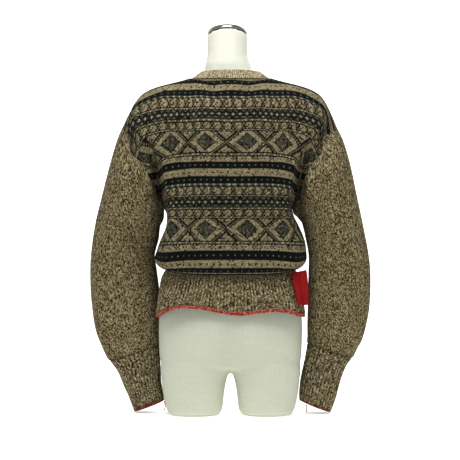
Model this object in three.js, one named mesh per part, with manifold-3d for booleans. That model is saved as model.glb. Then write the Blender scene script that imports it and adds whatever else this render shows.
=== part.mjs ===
// A fair isle cardigan with balloon sleeves, worn by a limbless dress form.
// Units are millimetres. +Z is up, the garment faces -Y and its wearer's left is +X.
// The sizes below are counted from the floor under the middle of the form. At the end everything is
// moved together, so that the origin is on the floor under the middle of the whole.

import * as THREE from "three";
import { mergeVertices } from "three/addons/utils/BufferGeometryUtils.js";
import Module from "manifold-3d";

const wasm = await Module();
wasm.setup();

// ---------------------------------------------------------------- driving sizes

const KNIT = 3; // thickness of the knitted wall
const SEAM = 0.3; // gap between two pieces that are sewn together
const RIB_PITCH = 8; // one rib of the hem and of the bands
const RIB_RISE = 0.9; // how far a rib stands up
const CUFF_RIBS = 36; // ribs round a cuff
const BAND_WIDTH = 30; // button band
const BAND_HALF = 15.7; // from the middle of the front to the edge of a front panel
const BAND_LIFT = 4.8; // the upper band lies this far over the lower one
const BAND_LAP = 3.6; // how far the upper band lies over its own front panel
const HEM_EDGE_HEIGHT = 9; // overlocked edge of the hem
const CUFF_EDGE_HEIGHT = 6; // overlocked edge of a cuff
const BUTTON_RADIUS = 10;
const BUTTON_THICKNESS = 4;
const BUTTON_COUNT = 6;
const FIRST_BUTTON = 5.4; // places of the top and the bottom button, in rows of the front
const LAST_BUTTON = 18;
const BACK_HEM_WIDTH = 470; // width of the hem rib at its seams, to count its ribs
const FRONT_HEM_WIDTH = 225;
const TAPE_THICKNESS = 1.4;
const TAIL_RADIUS = 1.1;
const NECK_TILT = 0.236; // slope of the form's cut neck, front edge lower
const NECK_RADIUS = 47.5;
const NECK_CENTRE = new THREE.Vector3(7, 4, 887.5);
const FULL_TURN = 2 * Math.PI;

// ---------------------------------------------------------------- tables

/** Rows with named columns. */
function table(columns, ...lines) {
  const names = columns.split(" ");
  return lines.map((line) => Object.fromEntries(names.map((name, i) => [name, line[i]])));
}

// One row for each level of the cloth, from the shoulder seam down to the seam with the hem rib.
// A row runs from the centre line by way of the neck column and the fold to the armhole or side.
// Leans move the fold and the edge of both sides towards the wearer's left.
const ACROSS = "midY midZ neckX neckY neckZ foldX foldY foldZ edgeX edgeY edgeZ foldLean edgeLean";

const BACK = table(
  ACROSS,
  [72, 777, 96, -6, 783, 205, -8, 748, 254, -6, 668, 0, 2],
  [80, 767, 96, 26, 783, 206, 22, 746, 248, 18, 663, 0, 2],
  [90, 751, 93, 60, 768, 212, 48, 726, 236, 34, 656, 4, 4],
  [105, 711, 92, 101, 713, 217, 68, 682, 221, 46, 644, 10, 10],
  [114, 658, 90, 112, 658, 184, 93, 636, 219, 60, 608, 6, 10],
  [116, 606, 90, 114, 606, 149, 107, 594, 194, 70, 582, 4, 8],
  [117, 566, 90, 115, 566, 142, 107, 557, 178, 67, 549, 5, 7],
  [117, 534, 90, 115, 534, 139, 106, 528, 168, 52, 524, 5, 4],
  [116, 504, 90, 114, 503, 137, 103, 500, 160, 24, 493, 5, 3],
  [115, 488, 90, 113, 488, 137, 101, 486, 151, 0, 482, 5, 6],
  [114, 466, 88, 112, 466, 136, 99, 465, 148, 0, 462, 4, -1],
  [113, 440, 88, 111, 440, 137, 97, 441, 154, 0, 440, 4, -6],
  [116, 409, 92, 114, 409, 146, 98, 408, 169, 0, 406, 1, -5],
  [121, 381, 96, 119, 380, 153, 100, 376, 176, 0, 378, 0, -2],
  [124, 356, 96, 122, 355, 154, 102, 351, 178, 0, 361, 0, 0],
  [122, 338, 94, 120, 339, 149, 98, 340, 170, 0, 349, 0, 0],
  [112, 328, 88, 110, 329, 136, 90, 336, 151, 0, 339, 0, 0],
);

const FRONT = table(
  ACROSS,
  [-60, 769, 96, -6, 783, 205, -8, 748, 254, -6, 668, 0, 2],
  [-78, 754, 95, -38, 775, 206, -38, 736, 249, -30, 658, 0, 2],
  [-92, 730, 93, -66, 756, 207, -60, 712, 238, -48, 641, 0, 2],
  [-106, 695, 93, -90, 712, 203, -74, 678, 224, -56, 621, 0, 3],
  [-120, 649, 92, -110, 656, 190, -86, 633, 210, -60, 594, 0, 4],
  [-133, 601, 90, -127, 606, 172, -94, 592, 195, -57, 568, 0, 6],
  [-137, 565, 88, -134, 566, 161, -98, 555, 181, -48, 541, 0, 7],
  [-136, 534, 88, -132, 534, 154, -98, 528, 171, -34, 516, 0, 5],
  [-131, 504, 88, -126, 503, 148, -93, 499, 161, -16, 493, 0, 3],
  [-127, 486, 88, -122, 486, 144, -89, 484, 151, 0, 482, 0, 6],
  [-122, 461, 86, -116, 461, 137, -85, 461, 148, 0, 462, 0, -1],
  [-119, 435, 88, -112, 435, 138, -84, 436, 154, 0, 440, 0, -6],
  [-122, 406, 92, -116, 406, 148, -88, 406, 169, 0, 406, 0, -5],
  [-126, 378, 96, -123, 378, 155, -93, 377, 176, 0, 378, 0, -2],
  [-127, 356, 97, -125, 356, 158, -94, 357, 178, 0, 361, 0, 0],
  [-126, 342, 95, -121, 341, 150, -91, 342, 170, 0, 349, 0, 0],
  [-123, 332, 88, -111, 332, 136, -82, 336, 151, 0, 339, 0, 0],
);

// The hem rib under the blouson. Its last row is bent to the hemline below.
const RIB_BACK = table(
  ACROSS,
  [111, 327, 87, 109, 328, 135, 89, 334.6, 150, 0, 338, 0, 0],
  [113, 318, 90, 111, 318, 142, 93, 318, 161, 0, 318, 0, 0],
  [118, 285, 93, 115, 285, 148, 96, 285, 167, 0, 285, 0, 0],
  [124, 243, 96, 121, 243, 154, 99, 243, 174, 0, 243, 0, 0],
);

const RIB_FRONT = table(
  ACROSS,
  [-122.5, 331, 87, -110, 331, 135, -81, 334.6, 150, 0, 338, 0, 0],
  [-121, 318, 90, -111, 318, 142, -84, 318, 161, 0, 318, 0, 0],
  [-119, 285, 93, -113, 285, 145, -86, 285, 167, 0, 285, 0, 0],
  [-121, 243, 96, -116, 243, 148, -86, 243, 174, 0, 243, 0, 0],
);

// Height of the wavy hem along the back and along the front, from the right side to the left.
const HEMLINE_BACK = table(
  "x z",
  [-174, 227],
  [-160, 233],
  [-127, 242],
  [-93, 244],
  [-46, 238],
  [-10, 236.5],
  [36, 244],
  [72, 251],
  [119, 251],
  [152, 241],
  [174, 225],
);

const HEMLINE_FRONT = table(
  "x z",
  [-174, 227],
  [-120, 240],
  [-60, 236],
  [0, 240],
  [60, 237],
  [120, 241],
  [174, 225],
);

// Half the opening of the V neck, one entry for each row of the front down to its point.
const V_NECK = [96, 91, 81, 60, 37, BAND_HALF];

// Sleeve rings below the armhole, by their outer and inner points, down to the cuff seam.
const RING = "outerX outerZ innerX innerZ middleY depth";

const SLEEVE_LEFT = table(
  RING,
  [266, 640, 161, 472, 4, 66],
  [283, 583, 162, 460, 2, 70],
  [305, 500, 167, 430, -8, 71],
  [320, 440, 170, 408, -18, 70],
  [331, 372, 180, 370, -34, 68],
  [334, 322, 176, 336, -46, 66],
  [332, 263, 170, 283, -52, 64],
  [322, 194, 169.5, 222, -50, 61],
  [303, 146, 167.5, 180, -42, 57],
  [290, 122, 166, 160, -36, 53],
);

const SLEEVE_RIGHT = table(
  RING,
  [264, 640, 151, 474, 4, 66],
  [281, 583, 163, 461, 2, 70],
  [299, 500, 171, 436, -2, 70],
  [314, 430, 177, 410, -5, 69],
  [326, 365, 184, 372, -8, 67],
  [329.5, 310, 184, 330, -10, 66],
  [326, 241, 183, 272, -10, 64],
  [312, 178, 181, 210, -9, 60],
  [298, 150, 181, 182, -9, 57],
  [290, 133, 180, 166, -8, 54],
);

const CUFF_LEFT = table(
  RING,
  [285, 120, 169, 157, -36, 50],
  [266, 94, 168, 128, -33, 46],
  [249, 56, 166, 80, -27, 39],
  [240, 38, 163.5, 60, -23, 36],
  [226, 2, 157.5, 28, -18, 31],
);

const CUFF_RIGHT = table(
  RING,
  [285, 130, 182, 162, -8, 51],
  [270, 108, 176, 128, -7, 46],
  [257, 74, 167, 86, -6, 40],
  [246, 34, 163, 54, -5, 34],
  [234, 2, 163, 30, -5, 31],
);

// The dress form's torso, from the neck down. Roundness 2 is an ellipse and more is boxier.
const TORSO = table(
  "z middleX half back front roundness tilt cleft",
  [886.4, 7, 47.5, 51.5, -43.5, 2, NECK_TILT, 0],
  [862, 7, 47, 50, -42, 2, 0.17, 0],
  [836, 7, 48, 50, -43, 2, 0.1, 0],
  [815, 6, 54, 51, -45, 2, 0.04, 0],
  [802, 4, 57, 50, -46, 2, 0, 0],
  [788, 3, 66, 53, -48, 2, 0, 0],
  [772, 2, 86, 54, -50, 2, 0, 0],
  [752, 0, 135, 62, -54, 2, 0, 0],
  [728, 0, 172, 74, -62, 2.1, 0, 0],
  [695, 0, 184, 90, -78, 2.2, 0, 0],
  [645, 0, 176, 99, -98, 2.3, 0, 0],
  [600, 0, 162, 98, -116, 2.3, 0, 0],
  [562, 0, 154, 93, -127, 2.3, 0, 0],
  [520, 0, 143, 86, -118, 2.3, 0, 0],
  [480, 0, 131, 77, -100, 2.2, 0, 0],
  [440, 0, 122, 71, -91, 2.2, 0, 0],
  [405, 0, 119, 70, -88, 2.2, 0, 0],
  [370, 0, 128, 76, -92, 2.2, 0, 0],
  [335, 0, 140, 86, -97, 2.2, 0, 0],
  [295, 0, 156, 98, -102, 2.3, 0, 1],
  [250, 0, 165, 109, -104, 2.3, 0, 3],
  [205, 0, 168, 114, -101, 2.4, 0, 7],
  [160, 0, 167.5, 111, -95, 2.4, 0, 11],
  [136, 0, 166, 104, -89, 2.5, 0, 14],
  [120, 0, 163, 97, -83, 2.5, 0, 14],
  [111, 0, 158, 87, -74, 2.5, 0, 12],
  [107, 0, 149, 72, -60, 2.5, 0, 8],
);

// One of the form's two stumps, by the sides nearest to and furthest from the other stump.
const STUMP = table(
  "z inner outer back front",
  [0, 29, 139, 62, -56],
  [4, 23, 146, 71, -64],
  [14, 18.5, 150.5, 78, -71],
  [48, 15, 158, 85, -76],
  [78, 9.5, 161.5, 90, -79],
  [96, 3.5, 163.5, 93, -81],
  [106, -3, 164, 93, -81],
  [122, -8, 162, 91, -79],
  [150, -14, 152, 80, -68],
);

// ---------------------------------------------------------------- curves

/** A smooth curve through four values, between the middle two. */
function smooth(before, start, end, after, t) {
  const leaving = (end - before) / 2;
  const arriving = (after - start) / 2;
  const bend = start - end;
  const cubic = 2 * bend + leaving + arriving;
  const square = -3 * bend - 2 * leaving - arriving;
  return ((cubic * t + square) * t + leaving) * t + start;
}

/** Every column of a table at a place between its rows. */
function rowAt(rows, place) {
  const index = Math.min(Math.floor(place), rows.length - 2);
  const found = {};
  for (const name of Object.keys(rows[0])) {
    const start = rows[index][name];
    const end = rows[index + 1][name];
    const before = index > 0 ? rows[index - 1][name] : 2 * start - end;
    const after = index + 2 < rows.length ? rows[index + 2][name] : 2 * end - start;
    found[name] = smooth(before, start, end, after, place - index);
  }
  return found;
}

/** The value of a table's second column where its first column, x, has the given value. */
function heightAt(rows, x) {
  let index = 0;
  while (index < rows.length - 2 && rows[index + 1].x < x) {
    index += 1;
  }
  const part = (x - rows[index].x) / (rows[index + 1].x - rows[index].x);
  return rowAt(rows, index + THREE.MathUtils.clamp(part, 0, 1)).z;
}

/** The point of a body row at a share across: 0 is the centre line, 1 the left and -1 the right edge. */
function acrossRow(row, share) {
  const side = share < 0 ? -1 : 1;
  const knots = [
    new THREE.Vector3(0, row.midY, row.midZ),
    new THREE.Vector3(side * row.neckX, row.neckY, row.neckZ),
    new THREE.Vector3(side * row.foldX + row.foldLean, row.foldY, row.foldZ),
    new THREE.Vector3(side * row.edgeX + row.edgeLean, row.edgeY, row.edgeZ),
  ];
  const mirrored = knots[1].clone();
  mirrored.x *= -1;
  // At the side seam the cloth runs straight round to the other panel. At the armhole it runs on.
  // The neckline runs forward into the corner of the neck, and the shoulder seam starts straight there.
  const seamed = THREE.MathUtils.clamp(1 - Math.abs(row.edgeY) / 20, 0, 1);
  const onward = knots[3].clone().multiplyScalar(1.6).addScaledVector(knots[2], -0.6);
  const round = knots[2].clone();
  round.y *= -1;
  const beyond = onward.lerp(round, seamed);
  const place = Math.min(Math.abs(share), 1) * 3;
  const index = Math.min(Math.floor(place), 2);
  const t = place - index;
  const straight = THREE.MathUtils.clamp(1.5 - Math.abs(row.neckY - row.foldY) / 8, 0, 1);
  if (index === 0) {
    knots[2].lerp(knots[1].clone().add(new THREE.Vector3(-side * 33, -144, 0)), straight);
  }
  if (index === 1) {
    knots[0].lerp(knots[1].clone().multiplyScalar(2).sub(knots[2]), straight);
  }
  const line = [mirrored, ...knots, beyond];
  const [before, start, end, after] = line.slice(index, index + 4);
  return new THREE.Vector3(
    smooth(before.x, start.x, end.x, after.x, t),
    smooth(before.y, start.y, end.y, after.y, t),
    smooth(before.z, start.z, end.z, after.z, t),
  );
}

/** The point of a ring at a turn from its outer point: a quarter turn is the back. */
function onRing(row, angle, side) {
  const reach = Math.cos(angle);
  return new THREE.Vector3(
    side * ((row.outerX + row.innerX) / 2 + (reach * (row.outerX - row.innerX)) / 2),
    row.middleY + Math.sin(angle) * row.depth,
    (row.outerZ + row.innerZ) / 2 + (reach * (row.outerZ - row.innerZ)) / 2,
  );
}

/** Places at even steps of length along a curve, from one of its places to another. */
function evenPlaces(curve, from, to, count) {
  const fine = 48;
  const placeAt = (share) => from + (to - from) * share;
  const lengths = [0];
  for (let i = 1; i <= fine; i += 1) {
    const step = curve(placeAt(i / fine)).distanceTo(curve(placeAt((i - 1) / fine)));
    lengths.push(lengths[i - 1] + step);
  }
  const places = [];
  let index = 0;
  for (let i = 0; i <= count; i += 1) {
    const wanted = (lengths[fine] * i) / count;
    while (index < fine - 1 && lengths[index + 1] < wanted) {
      index += 1;
    }
    const part = (wanted - lengths[index]) / (lengths[index + 1] - lengths[index]);
    places.push(placeAt((index + part) / fine));
  }
  return places;
}

/** Points at even steps along a curve. */
function evenSteps(curve, from, to, count) {
  return evenPlaces(curve, from, to, count).map(curve);
}

// ---------------------------------------------------------------- solids from grids of points

/** The outward direction at each point of a grid, whose rows go down and columns go round. */
function outwards(grid, round, turn) {
  return grid.map((line, r) =>
    line.map((_, c) => {
      const last = line.length - 1;
      const left = round ? line[(c + last) % line.length] : line[Math.max(c - 1, 0)];
      const right = round ? line[(c + 1) % line.length] : line[Math.min(c + 1, last)];
      const above = grid[Math.max(r - 1, 0)][c];
      const below = grid[Math.min(r + 1, grid.length - 1)][c];
      const along = right.clone().sub(left);
      return along.cross(below.clone().sub(above)).normalize().multiplyScalar(turn);
    }),
  );
}

/** The grid moved by a distance along its directions. */
function moved(grid, directions, distance) {
  return grid.map((line, r) =>
    line.map((point, c) => point.clone().addScaledVector(directions[r][c], distance)),
  );
}

/** Triangles between two lines of vertex numbers, which may differ in length. */
function laced(first, second) {
  const triangles = [];
  let i = 0;
  let j = 0;
  while (i < first.length - 1 || j < second.length - 1) {
    const nextFirst = (i + 1) / (first.length - 1);
    const nextSecond = (j + 1) / (second.length - 1);
    if (j === second.length - 1 || (i < first.length - 1 && nextFirst <= nextSecond)) {
      triangles.push([first[i], first[i + 1], second[j]]);
      i += 1;
    } else {
      triangles.push([first[i], second[j + 1], second[j]]);
      j += 1;
    }
  }
  return triangles;
}

/** A geometry from points and triangles, turned so that its faces point out. */
function solid(points, triangles) {
  let volume = 0;
  for (const [a, b, c] of triangles) {
    volume += points[a].dot(points[b].clone().cross(points[c]));
  }
  const facing = volume < 0 ? triangles.map(([a, b, c]) => [a, c, b]) : triangles;
  const geometry = new THREE.BufferGeometry();
  geometry.setAttribute("position", new THREE.Float32BufferAttribute(points.flatMap((p) => p.toArray()), 3));
  geometry.setIndex(facing.flat());
  return geometry;
}

/** A wall between an outer and an inner grid. A round one is a tube, and another is a panel. */
function wall(outer, inner, round) {
  const points = [...outer.flat(), ...inner.flat()];
  const numbers = (grid, first) => grid.map((line, r) => line.map((_, c) => first + r * line.length + c));
  const closed = (line) => (round ? [...line, line[0]] : line);
  const outside = numbers(outer, 0).map(closed);
  const inside = numbers(inner, outer.flat().length).map(closed);
  const triangles = [];
  for (let r = 0; r < outside.length - 1; r += 1) {
    triangles.push(...laced(outside[r], outside[r + 1]));
  }
  for (let r = 0; r < inside.length - 1; r += 1) {
    triangles.push(...laced(inside[r + 1], inside[r]));
  }
  triangles.push(...laced(inside[0], outside[0]));
  triangles.push(...laced(outside.at(-1), inside.at(-1)));
  if (!round) {
    const column = (lines, c) => lines.map((line) => line.at(c));
    triangles.push(...laced(column(outside, 0), column(inside, 0)));
    triangles.push(...laced(column(inside, -1), column(outside, -1)));
  }
  return solid(points, triangles);
}

/** A rod through rings of points, closed by a flat face at each end. */
function rod(rings) {
  const count = rings[0].length;
  const points = rings.flat();
  const line = (r) => [...Array(count + 1).keys()].map((c) => r * count + (c % count));
  const triangles = [];
  for (let r = 0; r < rings.length - 1; r += 1) {
    triangles.push(...laced(line(r), line(r + 1)));
  }
  const top = (rings.length - 1) * count;
  for (let c = 1; c < count - 1; c += 1) {
    triangles.push([0, c + 1, c]);
    triangles.push([top, top + c, top + c + 1]);
  }
  return solid(points, triangles);
}

/** A manifold made from a geometry, and the way back. */
function toManifold(geometry) {
  const merged = geometry.clone();
  merged.deleteAttribute("normal");
  merged.deleteAttribute("uv");
  const shared = mergeVertices(merged, 1e-4);
  const vertProperties = new Float32Array(shared.attributes.position.array);
  const triVerts = new Uint32Array(shared.index.array);
  return new wasm.Manifold(new wasm.Mesh({ numProp: 3, vertProperties, triVerts }));
}

function fromManifold(manifold) {
  const mesh = manifold.getMesh();
  const geometry = new THREE.BufferGeometry();
  geometry.setAttribute("position", new THREE.BufferAttribute(new Float32Array(mesh.vertProperties), 3));
  geometry.setIndex(new THREE.BufferAttribute(new Uint32Array(mesh.triVerts), 1));
  return geometry;
}

// ---------------------------------------------------------------- materials

const MATERIALS = {
  fairIsle: { color: 0x4d4737, roughness: 0.95, metalness: 0 },
  marl: { color: 0x6b6246, roughness: 0.95, metalness: 0 },
  ribMarl: { color: 0x71674c, roughness: 0.95, metalness: 0 },
  collarRib: { color: 0xa99c7b, roughness: 0.95, metalness: 0 },
  redEdge: { color: 0x9c4138, roughness: 0.8, metalness: 0 },
  redTape: { color: 0x8e0b0b, roughness: 0.6, metalness: 0 },
  button: { color: 0x3a2d20, roughness: 0.4, metalness: 0 },
  linen: { color: 0xd9dcc8, roughness: 0.9, metalness: 0 },
  metal: { color: 0xb7b8b0, roughness: 0.25, metalness: 1 },
};

const garment = new THREE.Group();

/** Adds a named piece with a material of its own. */
function add(name, geometry, look) {
  const mesh = new THREE.Mesh(geometry, new THREE.MeshStandardMaterial(MATERIALS[look]));
  mesh.name = name;
  garment.add(mesh);
  return mesh;
}

// ---------------------------------------------------------------- body panels

const UNDERARM = 9; // the row where the armhole ends

/** The places of the grid's lines down a body panel, closer where the cloth bends. */
function bodyPlaces() {
  const places = [0, 0.5];
  for (let place = 1; place < 13; place += 1) {
    places.push(place);
  }
  for (let place = 13; place <= 16; place += 0.5) {
    places.push(place);
  }
  return places;
}

/** Keeps the ends of seams square: the shoulder seam and the side seams below the armholes. */
function squareSeams(directions, places, sideColumns) {
  directions[0].forEach((direction) => {
    direction.y = 0;
    direction.normalize();
  });
  directions.forEach((line, r) => {
    if (places[r] >= UNDERARM) {
      for (const column of sideColumns) {
        line.at(column).y = 0;
        line.at(column).normalize();
      }
    }
  });
}

/** Moves a whole grid along Y, so that back and front stay clear of each other at their seams. */
function shifted(grid, distance) {
  return grid.map((line) => line.map((point) => point.clone().setY(point.y + distance)));
}

function backPanel() {
  const columns = 22;
  const places = bodyPlaces();
  const lines = places.map((place) => {
    const row = rowAt(BACK, place);
    return evenSteps((share) => acrossRow(row, share), -1, 1, columns);
  });
  const outer = shifted(lines, SEAM / 2);
  const directions = outwards(outer, false, 1);
  squareSeams(directions, places, [0, -1]);
  return wall(outer, moved(outer, directions, -KNIT), false);
}

/** Half the gap between the fronts at a place down the front. */
function frontOpening(place) {
  const last = V_NECK.length - 1;
  if (place >= last) {
    return BAND_HALF;
  }
  const rows = V_NECK.map((x) => ({ x }));
  return rowAt(rows, place).x;
}

/** The share across a front row where it has the given distance from the centre line. */
function shareOf(row, x, side) {
  let low = 0;
  let high = 1;
  for (let i = 0; i < 30; i += 1) {
    const middle = (low + high) / 2;
    if (acrossRow(row, side * middle).x * side < x) {
      low = middle;
    } else {
      high = middle;
    }
  }
  return (side * (low + high)) / 2;
}

function frontPanel(side) {
  const columns = 12;
  const places = bodyPlaces();
  const lines = places.map((place) => {
    const row = rowAt(FRONT, place);
    const opening = shareOf(row, frontOpening(place), side);
    return evenSteps((share) => acrossRow(row, share), opening, side, columns);
  });
  const outer = shifted(lines, -SEAM / 2);
  const directions = outwards(outer, false, -side);
  squareSeams(directions, places, [-1]);
  return wall(outer, moved(outer, directions, -KNIT), false);
}


// ---------------------------------------------------------------- sleeves and cuffs

/** The edge of a body panel along the armhole, from the shoulder tip to the underarm. */
function armhole(rows, side) {
  const places = bodyPlaces().filter((place) => place <= UNDERARM);
  return places.map((place) => acrossRow(rowAt(rows, place), side));
}

/** The sleeve's first ring, which follows the armhole round, just clear of the panels. */
function armholeRing(side) {
  const clear = new THREE.Vector3(side * 0.7, 0, -0.5);
  const behind = armhole(BACK, side);
  const before = armhole(FRONT, side).reverse();
  const ring = [...behind, ...before.slice(1, -1)];
  return ring.map((point) => point.clone().add(clear));
}

/** A turn for each point of the armhole ring, by its share of the way round. */
function turnsRound(ring) {
  const lengths = [0];
  ring.forEach((point, i) => {
    lengths.push(lengths[i] + point.distanceTo(ring[(i + 1) % ring.length]));
  });
  return ring.map((_, i) => (FULL_TURN * lengths[i]) / lengths.at(-1));
}

/** The rings of a sleeve, from the armhole to the cuff seam. */
function sleeveGrid(rows, side) {
  const steps = 12;
  const first = armholeRing(side);
  const turns = turnsRound(first);
  const grid = [first];
  for (let r = 0; r <= steps; r += 1) {
    const row = rowAt(rows, ((rows.length - 1) * r) / steps);
    grid.push(turns.map((turn) => onRing(row, turn, side)));
  }
  return grid;
}

function sleeve(rows, side) {
  const outer = sleeveGrid(rows, side);
  return wall(outer, moved(outer, outwards(outer, true, -side), -KNIT), true);
}

/** Rings of points between two places of a ring table. */
function ringGrid(rows, side, from, to, steps, count) {
  const grid = [];
  for (let r = 0; r <= steps; r += 1) {
    const row = rowAt(rows, from + ((to - from) * r) / steps);
    grid.push([...Array(count).keys()].map((c) => onRing(row, (FULL_TURN * c) / count, side)));
  }
  return grid;
}

/** Raises every other column of a grid, for ribs that run down it. */
function ribbed(grid, directions, height) {
  return grid.map((line, r) =>
    line.map((point, c) => point.clone().addScaledVector(directions[r][c], c % 2 ? height : 0)),
  );
}

/** The place of a ring table where the overlocked edge begins. */
function edgePlace(rows, height) {
  const last = rows.length - 1;
  const fall = rows[last - 1].outerZ - rows[last].outerZ;
  return last - (height + SEAM) / fall;
}

function cuff(rows, side) {
  const steps = 3;
  const to = edgePlace(rows, CUFF_EDGE_HEIGHT);
  const fine = ringGrid(rows, side, 0, to, steps, CUFF_RIBS * 2);
  const plain = ringGrid(rows, side, 0, to, steps, CUFF_RIBS / 2);
  const outer = ribbed(fine, outwards(fine, true, -side), RIB_RISE);
  return wall(outer, moved(plain, outwards(plain, true, -side), -KNIT), true);
}

/** The overlocked edge round a cuff's mouth, a little thicker than the rib above it. */
function cuffEdging(rows, side) {
  const count = 24;
  const from = edgePlace(rows, CUFF_EDGE_HEIGHT) + 0.1;
  const centre = ringGrid(rows, side, from, rows.length - 1, 1, count);
  const directions = outwards(centre, true, -side);
  const outer = moved(centre, directions, RIB_RISE);
  return wall(outer, moved(centre, directions, -KNIT - 0.4), true);
}

// ---------------------------------------------------------------- hem rib

/** A hem rib row at a place down it, bent to the hemline at its end. */
function ribLine(rows, hemline, place, raise) {
  const last = rows.length - 1;
  const row = rowAt(rows, place);
  const bend = Math.max(place - (last - 1), 0);
  const level = rows[last].midZ;
  return (share) => {
    const point = acrossRow(row, share);
    point.z += bend * (heightAt(hemline, point.x) + raise - level);
    return point;
  };
}

/** A grid of the hem rib between two shares across, with a gap at its side seams. */
function ribGrid(rows, hemline, from, to, columns, seamShift) {
  const steps = 3;
  const raise = HEM_EDGE_HEIGHT + 2 * SEAM;
  const grid = [];
  for (let r = 0; r <= steps; r += 1) {
    const place = ((rows.length - 1) * r) / steps;
    grid.push(evenSteps(ribLine(rows, hemline, place, raise), from, to, columns));
  }
  return shifted(grid, seamShift);
}

/** Squares the side seams of a rib's directions. */
function squareSides(directions, columns) {
  for (const line of directions) {
    for (const column of columns) {
      line.at(column).y = 0;
      line.at(column).normalize();
    }
  }
}

function hemPanel(rows, hemline, from, to, ribs, seamShift, turn, seamColumns) {
  const fine = ribGrid(rows, hemline, from, to, ribs * 2, seamShift);
  const plain = ribGrid(rows, hemline, from, to, ribs / 2, seamShift);
  const outerWays = outwards(fine, false, turn);
  const innerWays = outwards(plain, false, turn);
  squareSides(outerWays, seamColumns);
  squareSides(innerWays, seamColumns);
  return wall(ribbed(fine, outerWays, RIB_RISE), moved(plain, innerWays, -KNIT), false);
}

// ---------------------------------------------------------------- bands

// How the neck band stands up from the neckline, from the shoulder to the middle of the back.
const STAND = table(
  "inX backY upZ",
  [-27, 2, 16],
  [-15, -5, 18],
  [-7, -8, 20.5],
  [0, -12, 21.5],
);

/** The step from the neckline to the band's top edge, at a share of the back's first row. */
function stand(share) {
  const fromShoulder = 1 - Math.min(Math.abs(share) * 3, 1);
  const row = rowAt(STAND, fromShoulder * (STAND.length - 1));
  return new THREE.Vector3(Math.sign(share) * row.inX, row.backY, row.upZ);
}

/** The grid of the neck band, whose rows go down it and columns go round the back of the neck. */
function neckBandGrid(columns) {
  const corner = 0.3;
  const clear = 1.5;
  const shares = evenPlaces((share) => acrossRow(BACK[0], share), -corner, corner, columns);
  const steps = 2;
  const grid = [];
  for (let r = 0; r <= steps; r += 1) {
    const rise = 1 - r / steps;
    grid.push(
      shares.map((share) => {
        const base = acrossRow(BACK[0], share);
        base.z += clear;
        return base.addScaledVector(stand(share), rise);
      }),
    );
  }
  return grid;
}

function neckBand() {
  const ribs = 30;
  const fine = neckBandGrid(ribs * 2);
  const plain = neckBandGrid(ribs / 2);
  const outer = ribbed(fine, outwards(fine, false, 1), RIB_RISE);
  return wall(outer, moved(plain, outwards(plain, false, 1), -KNIT), false);
}

/** A row of the front at a place that goes on into the hem rib, with the half width of its opening. */
function frontRowAt(place) {
  const seam = FRONT.length - 1;
  if (place <= seam) {
    return rowAt(FRONT, place);
  }
  return rowAt(RIB_FRONT, Math.min(place - seam, RIB_FRONT.length - 1));
}

/** The outer and the inner edge of a front band at a place down the front. */
function bandEdges(place, side) {
  const row = frontRowAt(place);
  const opening = frontOpening(place);
  const edge = acrossRow(row, shareOf(row, opening - 3 * SEAM, side));
  const far = opening - BAND_WIDTH;
  const ownSide = far < 0 ? -side : side;
  const inner = acrossRow(row, shareOf(row, Math.abs(far), ownSide));
  const shoulder = 1 - THREE.MathUtils.smoothstep(place, 0, 3.5);
  const raised = edge.clone().add(new THREE.Vector3(side * STAND[0].inX, STAND[0].backY, STAND[0].upZ));
  return [edge, inner.lerp(raised, shoulder)];
}

/** A grid down a front band, in even steps of its outer edge. */
function bandGrid(side, lines) {
  const end = FRONT.length - 1 + RIB_FRONT.length - 1;
  const places = evenPlaces((place) => bandEdges(place, side)[0], 0, end, lines);
  const lift = side < 0 ? BAND_LIFT : 0;
  return places.map((place) => {
    const [edge, inner] = bandEdges(place, side);
    const raised = lift * THREE.MathUtils.smoothstep(place, 3.4, 4.6);
    if (raised === BAND_LIFT && place < FRONT.length - 1) {
      edge.lerp(inner, -BAND_LAP / BAND_WIDTH);
    }
    const points = [edge, inner];
    points.forEach((point) => {
      point.y -= raised;
      point.z -= place > end - 1 ? (place - end + 1) * 4 : 0;
    });
    return points;
  });
}

/** Raises every other line of a grid, for ribs that run across it. */
function crossRibbed(grid, directions, height) {
  return grid.map((line, r) =>
    line.map((point, c) => point.clone().addScaledVector(directions[r][c], r % 2 ? height : 0)),
  );
}

function frontBand(side) {
  const ribs = 64;
  const fine = bandGrid(side, ribs * 2);
  const plain = bandGrid(side, ribs / 2);
  const outer = crossRibbed(fine, outwards(fine, false, side), RIB_RISE);
  return wall(outer, moved(plain, outwards(plain, false, side), -KNIT), false);
}

// ---------------------------------------------------------------- edging, buttons, tape, tails

/** The overlocked edge of the hem, one strip from band to band round the back. */
function hemEdging(opening) {
  const sag = 0.6;
  const last = RIB_BACK.length - 1;
  const grid = [HEM_EDGE_HEIGHT - sag, 0].map((raise) => {
    const front = ribLine(RIB_FRONT, HEMLINE_FRONT, last, raise);
    const back = ribLine(RIB_BACK, HEMLINE_BACK, last, raise);
    return [
      ...evenSteps(front, opening, 0.99, 12),
      ...evenSteps(back, 0.99, -0.99, 28),
      ...evenSteps(front, -0.99, -opening, 12),
    ];
  });
  const directions = outwards(grid, false, -1);
  return wall(moved(grid, directions, RIB_RISE), moved(grid, directions, -KNIT - 0.4), false);
}

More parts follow.
